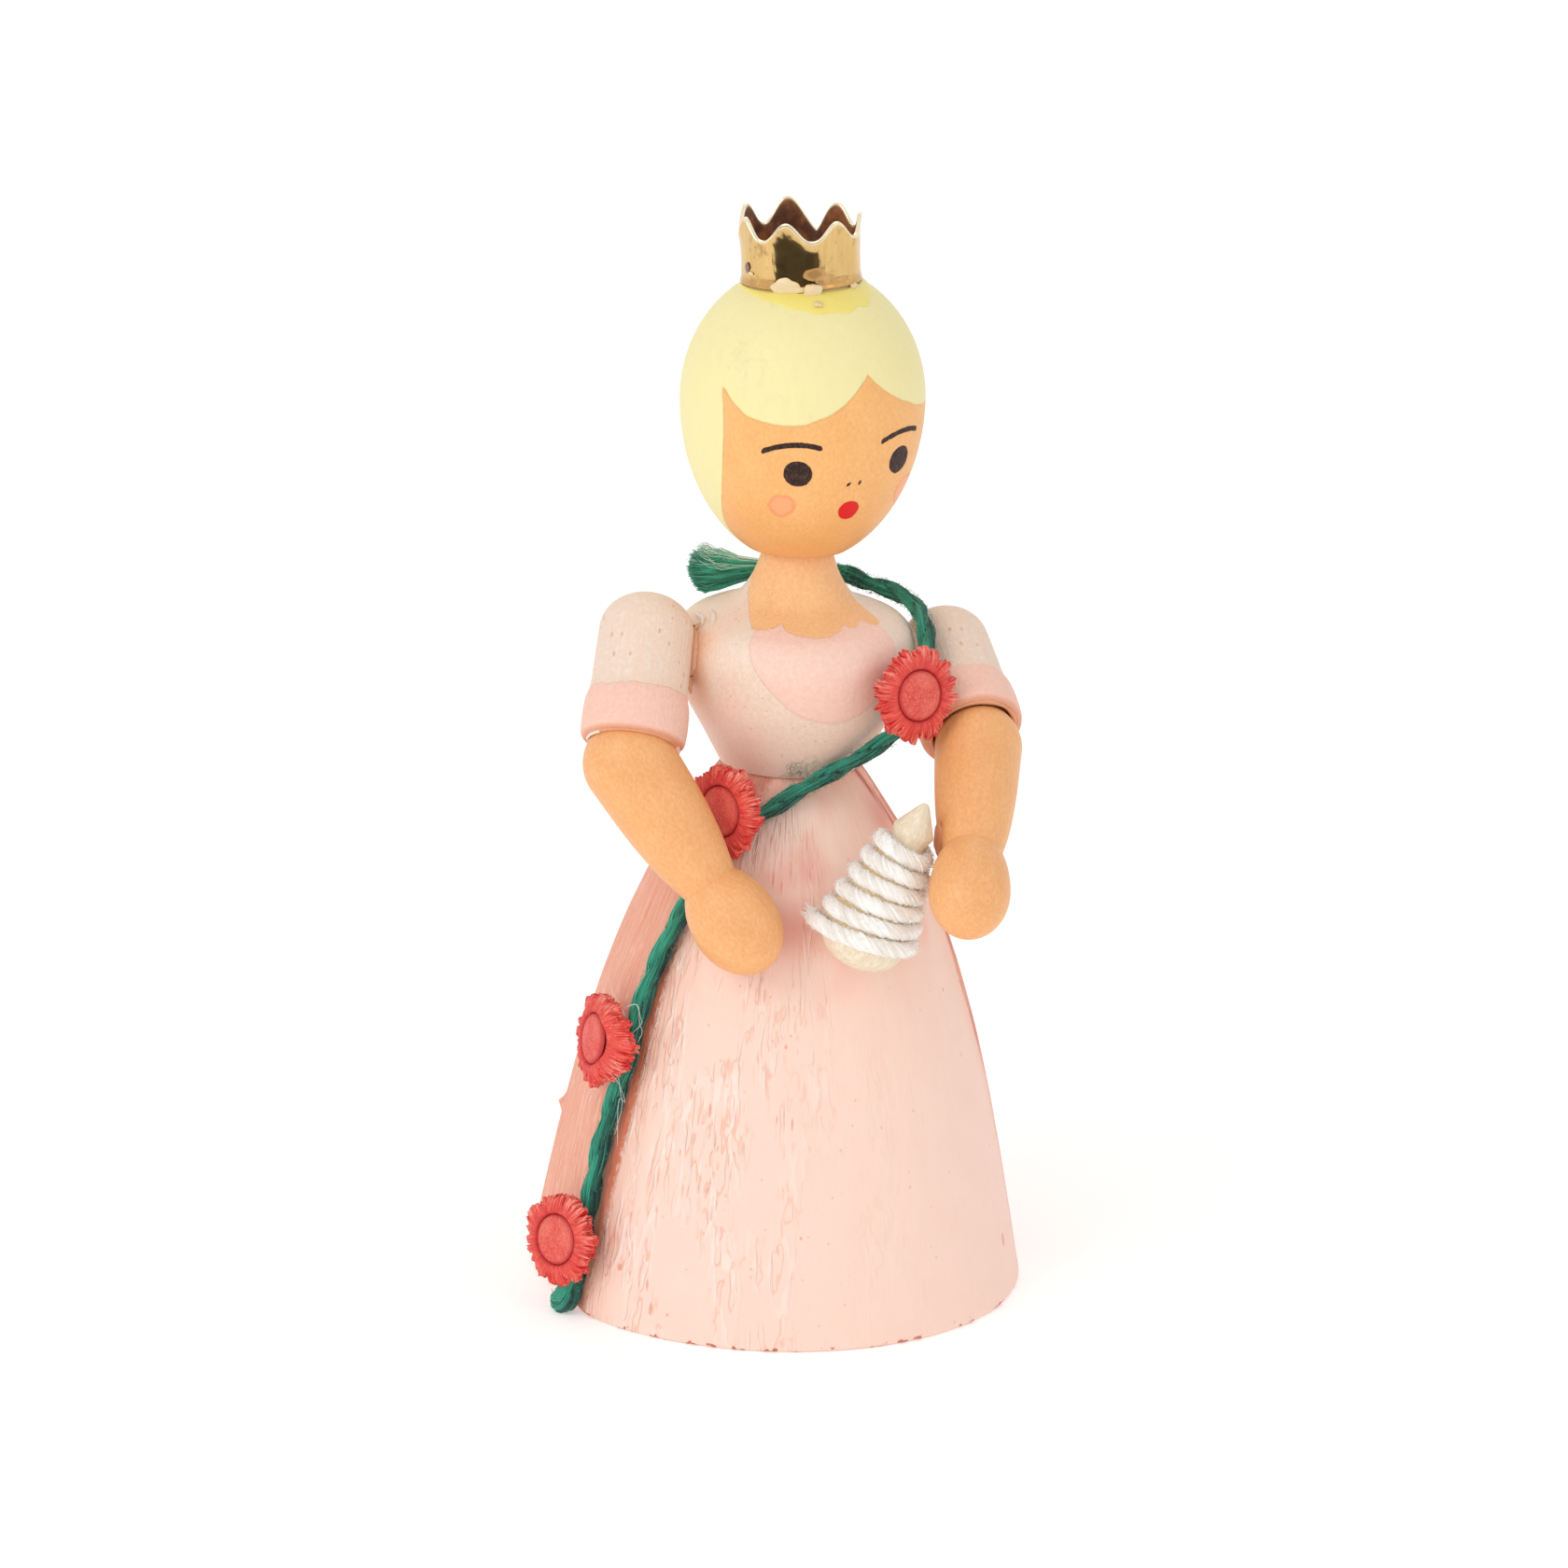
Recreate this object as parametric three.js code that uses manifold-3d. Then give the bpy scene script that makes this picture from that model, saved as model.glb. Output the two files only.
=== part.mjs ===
// A turned wooden princess figure, 80 mm tall, in millimetres.
// It stands on Z = 0 with its axis on Z, and faces -Y, so her right side is at -X.
// The skirt and the torso are turned on one axis and joined by a tenon at the waist, and the bored head sits on
// the tenon of the neck. Each arm is a bored sleeve, doweled and glued to a flat on the torso, with a turned
// forearm and hand in its cuff. A stamped crown, a spindle wound with cotton, a length of twine and four
// shaved flowers are glued on.
import * as THREE from "three";
import { mergeVertices } from "three/addons/utils/BufferGeometryUtils.js";
import Module from "manifold-3d";

const wasm = await Module();
wasm.setup();
const { Manifold, Mesh: SolidMesh } = wasm;
const { degToRad, lerp } = THREE.MathUtils;

// Clearances
const GLUE_GAP = 0.1; // between two faces that are glued
const SLIP_GAP = 0.15; // all round a tenon, dowel or button in its bore
const BORE_SPARE = 0.5; // a bore is this much deeper than what goes in

// Sides of each turning
const BODY_SIDES = 44;
const TORSO_SIDES = 40;
const SLEEVE_SIDES = 30;
const ARM_SIDES = 24;
const SMALL_SIDES = 24;
const ROD_SIDES = 20;

// Skirt: radii from the axis, heights from the table
const SKIRT_BASE_RADIUS = 18.2;
const SKIRT_WAIST_RADIUS = 4.9;
const WAIST_HEIGHT = 39.1;
const SKIRT_FLARE = 0.19; // slope of the side at the hem
const SKIRT_CURL = 2.75; // how late the side turns in towards the waist
const HEM_BEVEL = 0.35;

// Torso: heights from its foot
const TORSO_FOOT_RADIUS = 5.2;
const BODICE_RADIUS = 7.9;
const BODICE_HEIGHT = 5.0;
const BUST_RADIUS = 8.8;
const BUST_HEIGHT = 8.2;
const SHOULDER_RADIUS = 8.4;
const SHOULDER_HEIGHT = 10.3;
const SHOULDER_SLOPE = 0.45; // rise of the shoulder's top over its width
const COLLAR_RADIUS = 4.2;
const COLLAR_RISE = 0.15; // how far the shoulder has curled up at the collar
const NECK_RADIUS = 2.45;
const NECK_HEIGHT = 15.9;
const ARM_FLAT = 8.5; // from the axis to the flat that a sleeve is glued to

// Tenons and dowels
const WAIST_TENON_RADIUS = 2.0;
const WAIST_TENON_LENGTH = 5.0;
const NECK_TENON_RADIUS = 1.5;
const NECK_TENON_LENGTH = 5.0;
const DOWEL_RADIUS = 0.9;
const DOWEL_LENGTH = 4.0;
const DOWEL_SET = 1.0; // from the end of the sleeve's dome, along the sleeve

// Head: an egg, cut flat where it sits on the neck
const HEAD_RADIUS = 8.8;
const HEAD_CROWN_RISE = 9.6; // from the widest ring to the top
const HEAD_CHIN_DROP = 12.1; // from the widest ring to where the chin's curve would meet the axis
const HEAD_SEAT_DROP = 11.0; // from the widest ring to the flat

// Crown: a stamped ring with seven teeth
const CROWN_RADIUS = 4.28;
const CROWN_LIP = 0.12; // how far the foot and the teeth flare out
const CROWN_WALL = 0.3;
const CROWN_HEIGHT = 5.0;
const CROWN_TEETH = 7;
const CROWN_TOOTH_DEPTH = 1.6;
const CROWN_LEVELS = [[0, CROWN_LIP], [0.12, 0], [0.6, 0], [1, CROWN_LIP]]; // [share of height, flare]
const CROWN_COLUMNS = 10; // of points, to a tooth
const CROWN_OFFSET = new THREE.Vector2(-0.26, 0.34); // it is glued on a little off the axis
const CROWN_FIRST_TOOTH = 178.3; // degrees from +X to the middle of a tooth

// Sleeves: lengths from the end of the cuff
const SLEEVE_RADIUS = 3.4;
const SLEEVE_LENGTH = 11.3;
const SLEEVE_DOME = 2.8; // rise of the rounded shoulder end
const SLEEVE_SET_IN = 0.5; // how far the side of the dome's end is set into the torso's flat
const CUFF_RADIUS = 3.8;
const CUFF_LENGTH = 2.9;
const CUFF_ROUND = 0.5;
const CUFF_BORE_RADIUS = 3.25;
const CUFF_BORE_DEPTH = 2.2;

// Forearms: lengths from the middle of the elbow's ball
const ELBOW_OUT = 1.5; // from the cuff's end to the middle of the ball
const FOREARM_LENGTH = 10.3;
const FOREARM_SWELL = 0.94; // its thickness a little under half way down, over the elbow's
const WRIST_RADIUS = 2.1;
const HAND_LENGTH = 7.3;
const HAND_TIP = 1.25; // the round end's length over its radius

// How each arm was turned and glued on: where the sleeve's dome ends, forward of the axis and above the torso's
// foot, and how far the sleeve and the forearm swing forward from hanging straight down and lean outward, in
// degrees
const ARMS = {
  right: {
    side: -1,
    shoulder: { forward: -0.8, height: 10.4 },
    sleeve: { swing: 29.9, lean: 19.5 },
    forearm: { swing: 31.0, lean: -24.3 },
    elbowRadius: 3.35,
    handRadius: 3.15,
  },
  left: {
    side: 1,
    shoulder: { forward: 1.3, height: 7.5 },
    sleeve: { swing: 59.6, lean: -8.0 },
    forearm: { swing: 55.3, lean: -24.9 },
    elbowRadius: 3.15,
    handRadius: 2.9,
  },
};

// Spindle: lengths from its tip
const SPINDLE_LENGTH = 13.0;
const SPINDLE_RADIUS = 3.05;
const SPINDLE_TIP_RADIUS = 1.6;
const SPINDLE_TIP_LENGTH = 1.6;
const SPINDLE_BLUNT = 0.3; // radius of the blunt point
const SPINDLE_NECK_RADIUS = 1.15;
const SPINDLE_NECK_DEPTH = 3.2;
const SPINDLE_FOOT_DEPTH = 10.9;
const SPINDLE_HOLD = new THREE.Vector3(-1.0, 4.36, 5.4); // from the middle of the left hand to the tip
const SPINDLE_AIM = new THREE.Vector3(-0.39, 0.12, -0.91).normalize();
const COTTON_RADIUS = 0.42;
const COTTON_TURNS = 5.6;
const COTTON_PITCH = 1.29;
const COTTON_START = 3.6;
const COTTON_STEPS = 24; // to a turn
const COTTON_SIDES = 6;

// Twine: the places that its middle passes, from the frayed end behind her right shoulder, round the back of
// the neck, over her left shoulder and down to the hem
const TWINE_RADIUS = 0.8;
const TWINE_STEPS = 72;
const TWINE_SIDES = 8;
// Round the torso, as [degrees from +X, radius, height above the torso's foot]
const TWINE_ON_TORSO = [
  [122, 8.6, 12.7],
  [113, 7.3, 12.7],
  [103, 6.2, 12.75],
  [85, 5.5, 12.85],
  [65, 5.2, 12.85],
  [45, 5.4, 12.7],
  [33, 5.7, 12.7],
  [24, 6.25, 12.55],
  [20, 7.0, 12.05],
  [14, 7.8, 11.75],
  [6, 8.35, 11.55],
  [-4, 8.65, 11.4],
  [-14, 8.95, 11.1],
  [-24, 9.2, 10.75],
  [-31, 9.45, 10.2],
  [-38, 9.75, 9.4],
  [-46, 10.35, 8.2],
  [-53, 10.8, 6.55],
  [-59.5, 9.95, 4.7],
  [-66, 8.25, 2.8],
  [-75, 7.2, 1.7],
  [-86, 6.75, 1.0],
  [-98, 6.6, 0.3],
  [-112, 6.65, -0.6],
];
// Down the side of the skirt, as [degrees from +X, share of the skirt's height]
const TWINE_ON_SKIRT = [
  [-127, 0.957],
  [-137, 0.934],
  [-145, 0.907],
  [-151.5, 0.871],
  [-155.5, 0.812],
  [-158.5, 0.752],
  [-162, 0.673],
  [-164, 0.588],
  [-164, 0.483],
  [-166, 0.391],
  [-167, 0.312],
  [-166.5, 0.198],
  [-165, 0.113],
  [-165.5, 0.054],
  [-167.5, 0.028],
];

// Flowers: each faces some degrees round from +X and up
const FLOWER_RADIUS = 3.55;
const FLOWER_THICKNESS = 1.2;
const PETALS = 16;
const PETAL_SLIT = 0.75;
const PETAL_HALF_WIDTH = 7.4; // in degrees round the disc
const PETAL_STEP = 0.12; // how much shorter one petal is than the next, in threes
const BUTTON_RADIUS = 1.85;
const BUTTON_SET_IN = 0.35; // how deep the button sits in the petals
const BUTTON_PROUD = 0.25; // how far the button stands out of the petals
const BUTTON_DOME = 0.15;
// Where the middle of each disc is: on the torso as [degrees from +X, radius, height above the torso's foot],
// and on the skirt as [degrees from +X, share of the skirt's height, clear of the twine]
const FLOWERS = {
  shoulder: { onTorso: [-66.1, 11.38, 7.1], facing: -82, up: 8 },
  waist: { onSkirt: [-144.1, 0.953, 1.57], facing: -157, up: 3 },
  skirt: { onSkirt: [-173, 0.519, 0.36], facing: -166, up: 9 },
  hem: { onSkirt: [-171.5, 0.147, 0.6], facing: -160, up: 8 },
};

// Finishes
const finish = (color, roughness = 0.6, metalness = 0) =>
  new THREE.MeshStandardMaterial({ color, roughness, metalness });
const FINISHES = {
  skirt: finish(0xf6cbbb),
  bodice: finish(0xe9d3c4),
  skin: finish(0xf0ad72),
  hair: finish(0xf6ecab, 0.5),
  gold: finish(0xc99a45, 0.25, 1),
  wood: finish(0xe9dcc0, 0.7),
  cotton: finish(0xf4f1ec, 0.9),
  twine: finish(0x1b7a5c, 0.9),
  petals: finish(0xe8423c, 0.7),
  button: finish(0xd84a44, 0.7),
};

const ACROSS = new THREE.Vector3(1, 0, 0);
const torsoFoot = WAIST_HEIGHT + GLUE_GAP;
const figure = new THREE.Group();
function add(name, geometry, material) {
  const mesh = new THREE.Mesh(geometry, material);
  mesh.name = name;
  figure.add(mesh);
}

// Solids: a closed geometry becomes a solid for a cut, and comes back as a geometry.
function toSolid(geometry) {
  const bare = new THREE.BufferGeometry();
  bare.setAttribute("position", geometry.getAttribute("position"));
  bare.setIndex(geometry.getIndex());
  const merged = mergeVertices(bare, 1e-4);
  const vertProperties = new Float32Array(merged.getAttribute("position").array);
  const triVerts = new Uint32Array(merged.getIndex().array);
  return new Manifold(new SolidMesh({ numProp: 3, vertProperties, triVerts }));
}
function toGeometry(solid) {
  const mesh = solid.getMesh();
  const geometry = new THREE.BufferGeometry();
  geometry.setAttribute("position", new THREE.BufferAttribute(mesh.vertProperties, 3));
  geometry.setIndex(new THREE.BufferAttribute(mesh.triVerts, 1));
  geometry.computeVertexNormals();
  return geometry;
}
function cut(body, ...tools) {
  return toGeometry(tools.reduce((rest, tool) => rest.subtract(toSolid(tool)), toSolid(body)));
}

// Turning: a profile of [radius, height] points that starts and ends on the axis, turned about Z.
function turned(profile, sides) {
  const points = profile.map(([radius, height]) => new THREE.Vector2(radius, height));
  return new THREE.LatheGeometry(points, sides).rotateX(Math.PI / 2);
}
// A smooth stretch of a profile through a few of its points.
function smooth(points, steps) {
  const curve = new THREE.SplineCurve(points.map(([radius, height]) => new THREE.Vector2(radius, height)));
  return curve.getPoints(steps).map((point) => [point.x, point.y]);
}
// A stretch of an ellipse about a point on the axis, between two angles in degrees from its widest ring.
function arc(radius, rise, middle, from, to, steps) {
  return Array.from({ length: steps + 1 }, (_, step) => {
    const angle = degToRad(lerp(from, to, step / steps));
    const reach = Math.abs(Math.abs(lerp(from, to, step / steps)) - 90) < 1e-9 ? 0 : Math.cos(angle);
    return [radius * reach, middle + rise * Math.sin(angle)];
  });
}
function rod(radius, from, to, sides = ROD_SIDES) {
  return turned([[0, from], [radius, from], [radius, to], [0, to]], sides);
}
// Moves a piece that was turned about Z so that it runs along a direction from a point.
function aim(geometry, direction, at) {
  const turn = new THREE.Quaternion().setFromUnitVectors(new THREE.Vector3(0, 0, 1), direction);
  return geometry.applyQuaternion(turn).translate(at.x, at.y, at.z);
}

// A point given as degrees round from +X, radius and height.
function aroundAxis([degrees, radius, height]) {
  const angle = degToRad(degrees);
  return new THREE.Vector3(radius * Math.cos(angle), radius * Math.sin(angle), height);
}

// Skirt, bored from above for the torso's tenon
const skirtTurnIn = (SKIRT_BASE_RADIUS - SKIRT_WAIST_RADIUS) / WAIST_HEIGHT - SKIRT_FLARE;
function skirtRadius(height) {
  return SKIRT_BASE_RADIUS - height * (SKIRT_FLARE + skirtTurnIn * (height / WAIST_HEIGHT) ** SKIRT_CURL);
}
const SKIRT_STEPS = 12;
const skirtSide = Array.from({ length: SKIRT_STEPS + 1 }, (_, step) => {
  const height = lerp(HEM_BEVEL, WAIST_HEIGHT, step / SKIRT_STEPS);
  return [skirtRadius(height), height];
});
add(
  "skirt",
  cut(
    turned([[0, 0], [SKIRT_BASE_RADIUS - HEM_BEVEL, 0], ...skirtSide, [0, WAIST_HEIGHT]], BODY_SIDES),
    rod(
      WAIST_TENON_RADIUS + SLIP_GAP,
      WAIST_HEIGHT + GLUE_GAP - WAIST_TENON_LENGTH - BORE_SPARE,
      WAIST_HEIGHT + BORE_SPARE,
    ),
  ),
  FINISHES.skirt,
);

// Arms: which way a piece hangs, and a point along a sleeve's axis, counted from the top of its dome
function hanging(side, { swing, lean }) {
  const forward = degToRad(swing);
  const outward = degToRad(lean);
  return new THREE.Vector3(
    side * Math.sin(outward),
    -Math.cos(outward) * Math.sin(forward),
    -Math.cos(outward) * Math.cos(forward),
  );
}
function sleeveAt({ side, shoulder, sleeve: pose }, distance) {
  const domeEnd = new THREE.Vector3(
    side * (ARM_FLAT + GLUE_GAP + SLEEVE_RADIUS - SLEEVE_SET_IN),
    -shoulder.forward,
    torsoFoot + shoulder.height,
  );
  return domeEnd.addScaledVector(hanging(side, pose), distance - SLEEVE_DOME);
}

// Torso: bodice, shoulders and neck in one turning, with a tenon at each end and a flat for each arm
const neckTop = torsoFoot + NECK_HEIGHT;
const shoulderTop = torsoFoot + SHOULDER_HEIGHT + (SHOULDER_RADIUS - COLLAR_RADIUS) * SHOULDER_SLOPE;
const shoulderAt = (inward, upward) => [
  lerp(SHOULDER_RADIUS, COLLAR_RADIUS, inward),
  lerp(torsoFoot + SHOULDER_HEIGHT, shoulderTop, upward),
];
const neckAt = (inward, upward) => [
  lerp(COLLAR_RADIUS, NECK_RADIUS, inward),
  lerp(shoulderTop, neckTop, upward),
];
const bodiceCurve = [
  [(TORSO_FOOT_RADIUS + BODICE_RADIUS) / 2, torsoFoot + BODICE_HEIGHT / 2],
  [BODICE_RADIUS, torsoFoot + BODICE_HEIGHT],
  [BUST_RADIUS, torsoFoot + BUST_HEIGHT],
  [SHOULDER_RADIUS, torsoFoot + SHOULDER_HEIGHT],
];
const neckCurve = [
  shoulderAt(0.2, 0.3),
  shoulderAt(0.6, 0.62),
  [COLLAR_RADIUS, shoulderTop + COLLAR_RISE],
  neckAt(0.6, 0.45),
  neckAt(1, 1),
];
const torsoSide = [[TORSO_FOOT_RADIUS, torsoFoot], ...smooth(bodiceCurve, 8), ...smooth(neckCurve, 8)];
function torsoTurning(spare = 0) {
  return turned(
    [
      [0, torsoFoot - WAIST_TENON_LENGTH],
      [WAIST_TENON_RADIUS, torsoFoot - WAIST_TENON_LENGTH],
      [WAIST_TENON_RADIUS, torsoFoot],
      ...torsoSide.map(([radius, height]) => [radius + spare, height]),
      [NECK_TENON_RADIUS, neckTop],
      [NECK_TENON_RADIUS, neckTop + NECK_TENON_LENGTH],
      [0, neckTop + NECK_TENON_LENGTH],
    ],
    TORSO_SIDES,
  );
}
function armFlats(spare = 0) {
  const depth = BUST_RADIUS;
  return Object.values(ARMS).map(({ side }) => {
    const slab = new THREE.BoxGeometry(depth, 2 * BUST_RADIUS, NECK_HEIGHT);
    return slab.translate(side * (ARM_FLAT + spare + depth / 2), 0, torsoFoot + NECK_HEIGHT / 2);
  });
}
const dowels = Object.entries(ARMS).map(([name, arm]) => {
  const set = sleeveAt(arm, SLEEVE_DOME + DOWEL_SET);
  return { name, at: new THREE.Vector3(arm.side * (ARM_FLAT + GLUE_GAP / 2), set.y, set.z) };
});
function dowelRod(at, spare = 0, spareEnd = 0) {
  const half = DOWEL_LENGTH / 2 + spareEnd;
  return aim(rod(DOWEL_RADIUS + spare, -half, half), ACROSS, at);
}
const dowelBores = dowels.map(({ at }) => dowelRod(at, SLIP_GAP, BORE_SPARE));
add("torso", cut(torsoTurning(), ...armFlats(), ...dowelBores), FINISHES.bodice);
dowels.forEach(({ name, at }) => add(`shoulder_dowel_${name}`, dowelRod(at), FINISHES.wood));

// Sleeves, fitted to the torso with a gap for glue
function sleeve(arm) {
  const profile = [
    ...arc(SLEEVE_RADIUS, SLEEVE_DOME, SLEEVE_DOME, -90, 0, 6),
    [CUFF_RADIUS, SLEEVE_LENGTH - CUFF_LENGTH],
    [CUFF_RADIUS, SLEEVE_LENGTH - CUFF_ROUND],
    [CUFF_RADIUS - CUFF_ROUND / 3, SLEEVE_LENGTH - CUFF_ROUND / 3],
    [CUFF_RADIUS - CUFF_ROUND, SLEEVE_LENGTH],
    [CUFF_BORE_RADIUS, SLEEVE_LENGTH],
    [CUFF_BORE_RADIUS, SLEEVE_LENGTH - CUFF_BORE_DEPTH],
    [0, SLEEVE_LENGTH - CUFF_BORE_DEPTH],
  ];
  return aim(turned(profile, SLEEVE_SIDES), hanging(arm.side, arm.sleeve), sleeveAt(arm, 0));
}
const torsoSeat = cut(torsoTurning(GLUE_GAP), ...armFlats(GLUE_GAP));
for (const [name, arm] of Object.entries(ARMS)) {
  add(`sleeve_${name}`, cut(sleeve(arm), torsoSeat, ...dowelBores), FINISHES.bodice);
}

// Forearms, each with its hand in the same turning
const elbowOf = (arm) => sleeveAt(arm, SLEEVE_LENGTH + ELBOW_OUT);
const handMiddleOf = ({ handRadius }) => FOREARM_LENGTH + HAND_LENGTH - handRadius * HAND_TIP;
function forearm(arm) {
  const { elbowRadius, handRadius } = arm;
  const handTip = handRadius * HAND_TIP;
  const handMiddle = handMiddleOf(arm);
  const wristAngle = THREE.MathUtils.radToDeg(Math.acos(WRIST_RADIUS / handRadius));
  const handBack = (handMiddle - FOREARM_LENGTH) / Math.sin(degToRad(wristAngle));
  const profile = [
    ...arc(elbowRadius, elbowRadius, 0, -90, 0, 5).slice(0, -1),
    ...smooth(
      [
        [elbowRadius, 0],
        [elbowRadius * FOREARM_SWELL, FOREARM_LENGTH * 0.42],
        [(elbowRadius + WRIST_RADIUS) / 2, FOREARM_LENGTH * 0.75],
        [WRIST_RADIUS, FOREARM_LENGTH],
      ],
      6,
    ),
    ...arc(handRadius, handBack, handMiddle, -wristAngle, 0, 3).slice(1),
    ...arc(handRadius, handTip, handMiddle, 0, 90, 5).slice(1),
  ];
  return aim(turned(profile, ARM_SIDES), hanging(arm.side, arm.forearm), elbowOf(arm));
}
for (const [name, arm] of Object.entries(ARMS)) {
  add(`forearm_${name}`, forearm(arm), FINISHES.skin);
}

// Head, bored from below for the neck's tenon
const headSeat = neckTop + GLUE_GAP;
const headMiddle = headSeat + HEAD_SEAT_DROP;
const seatAngle = THREE.MathUtils.radToDeg(Math.asin(HEAD_SEAT_DROP / HEAD_CHIN_DROP));
add(
  "head",
  cut(
    turned(
      [
        [0, headSeat],
        ...arc(HEAD_RADIUS, HEAD_CHIN_DROP, headMiddle, -seatAngle, 0, 8),
        ...arc(HEAD_RADIUS, HEAD_CROWN_RISE, headMiddle, 0, 90, 9).slice(1),
      ],
      BODY_SIDES,
    ),
    rod(NECK_TENON_RADIUS + SLIP_GAP, headSeat - BORE_SPARE, neckTop + NECK_TENON_LENGTH + BORE_SPARE),
  ),
  FINISHES.hair,
);

// Crown: columns of points round the ring, from the foot to the tip of the tooth, outside and in
function crown() {
  const columns = CROWN_TEETH * CROWN_COLUMNS;
  const inner = CROWN_LEVELS.map(([share, lip]) => [share, lip - CROWN_WALL]);
  const rows = [...CROWN_LEVELS, ...inner.reverse()];
  const position = [];
  const index = [];
  for (let column = 0; column < columns; column += 1) {
    const angle = (2 * Math.PI * column) / columns;
    const tooth = 0.5 + 0.5 * Math.cos(CROWN_TEETH * angle);
    const height = CROWN_HEIGHT - CROWN_TOOTH_DEPTH * (1 - tooth);
    const turn = angle + degToRad(CROWN_FIRST_TOOTH);
    for (const [share, lip] of rows) {
      const radius = CROWN_RADIUS + lip;
      position.push(radius * Math.cos(turn), radius * Math.sin(turn), height * share);
    }
    for (let row = 0; row < rows.length; row += 1) {
      const here = column * rows.length + row;
      const above = column * rows.length + ((row + 1) % rows.length);
      const next = (here + rows.length) % (columns * rows.length);
      const nextAbove = (above + rows.length) % (columns * rows.length);
      index.push(here, next, nextAbove, here, nextAbove, above);
    }
  }
  const geometry = new THREE.BufferGeometry();
  geometry.setAttribute("position", new THREE.Float32BufferAttribute(position, 3));
  geometry.setIndex(index);
  geometry.computeVertexNormals();
  return geometry;
}
// Its foot touches the head all round, because it leans out by as much as it is off the axis.
function headTop(reach) {
  return headMiddle + HEAD_CROWN_RISE * Math.sqrt(1 - (reach / HEAD_RADIUS) ** 2);
}
const crownFoot = CROWN_RADIUS + CROWN_LIP - CROWN_WALL;
const crownHigh = headTop(crownFoot - CROWN_OFFSET.length());
const crownLow = headTop(crownFoot + CROWN_OFFSET.length());
const crownLean = Math.atan2(crownHigh - crownLow, 2 * crownFoot);
const crownHinge = new THREE.Vector3(-CROWN_OFFSET.y, CROWN_OFFSET.x, 0).normalize();
add(
  "crown",
  crown()
    .applyMatrix4(new THREE.Matrix4().makeRotationAxis(crownHinge, crownLean))
    .translate(CROWN_OFFSET.x, CROWN_OFFSET.y, (crownHigh + crownLow) / 2 + GLUE_GAP),
  FINISHES.gold,
);

// Spindle: its core, and the cotton wound on it as one thread
const SPINDLE_FOOT_ROUND = SPINDLE_LENGTH - SPINDLE_FOOT_DEPTH;
const leftHand = elbowOf(ARMS.left).addScaledVector(hanging(1, ARMS.left.forearm), handMiddleOf(ARMS.left));
const spindleTip = leftHand.clone().add(SPINDLE_HOLD);
add(
  "spindle_core",
  aim(
    turned(
      [
        [0, 0],
        [SPINDLE_BLUNT, SPINDLE_BLUNT / 3],
        [SPINDLE_TIP_RADIUS, SPINDLE_TIP_LENGTH],
        [SPINDLE_NECK_RADIUS, SPINDLE_NECK_DEPTH],
        ...arc(SPINDLE_RADIUS, SPINDLE_FOOT_ROUND, SPINDLE_FOOT_DEPTH, 0, 90, 6),
      ],
      SMALL_SIDES,
    ),
    SPINDLE_AIM,
    spindleTip,
  ),
  FINISHES.wood,
);
function cottonPath(turns) {
  const depth = COTTON_START + turns * COTTON_PITCH;
  const share = (depth - SPINDLE_NECK_DEPTH) / (SPINDLE_FOOT_DEPTH - SPINDLE_NECK_DEPTH);
  const core = lerp(SPINDLE_NECK_RADIUS, SPINDLE_RADIUS, share);
  const slope = (SPINDLE_RADIUS - SPINDLE_NECK_RADIUS) / (SPINDLE_FOOT_DEPTH - SPINDLE_NECK_DEPTH);
  const radius = core + (COTTON_RADIUS + GLUE_GAP) * Math.hypot(1, slope);
  const angle = turns * 2 * Math.PI;
  return new THREE.Vector3(radius * Math.cos(angle), radius * Math.sin(angle), depth);
}
// A tube of rings along points, closed at both ends.
function tube(points, radius, sides) {
  const position = [];
  const index = [];
  points.forEach((point, ring) => {
    const before = points[Math.max(ring - 1, 0)];
    const after = points[Math.min(ring + 1, points.length - 1)];
    const along = after.clone().sub(before).normalize();
    const up = new THREE.Vector3(0, 0, 1).addScaledVector(along, -along.z).normalize();
    const out = along.clone().cross(up);
    for (let side = 0; side < sides; side += 1) {
      const angle = (2 * Math.PI * side) / sides;
      const offset = up.clone().multiplyScalar(Math.sin(angle)).addScaledVector(out, Math.cos(angle));
      position.push(...point.clone().addScaledVector(offset, radius));
    }
  });
  for (let ring = 0; ring < points.length - 1; ring += 1) {
    for (let side = 0; side < sides; side += 1) {
      const here = ring * sides + side;
      const beside = ring * sides + ((side + 1) % sides);
      index.push(here, here + sides, beside, beside, here + sides, beside + sides);
    }
  }
  const last = (points.length - 1) * sides;
  for (let side = 1; side < sides - 1; side += 1) {
    index.push(0, side, side + 1, last, last + side + 1, last + side);
  }
  const geometry = new THREE.BufferGeometry();
  geometry.setAttribute("position", new THREE.Float32BufferAttribute(position, 3));
  geometry.setIndex(index);
  geometry.computeVertexNormals();
  return geometry;
}
const cottonPoints = Array.from({ length: Math.round(COTTON_TURNS * COTTON_STEPS) + 1 }, (_, step) =>
  cottonPath(step / COTTON_STEPS),
);
const straightEnd = (from, to) => to.clone().add(to.clone().sub(from).setLength(2 * COTTON_RADIUS));
cottonPoints.unshift(straightEnd(cottonPoints[1], cottonPoints[0]));
cottonPoints.push(straightEnd(cottonPoints.at(-2), cottonPoints.at(-1)));
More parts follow.
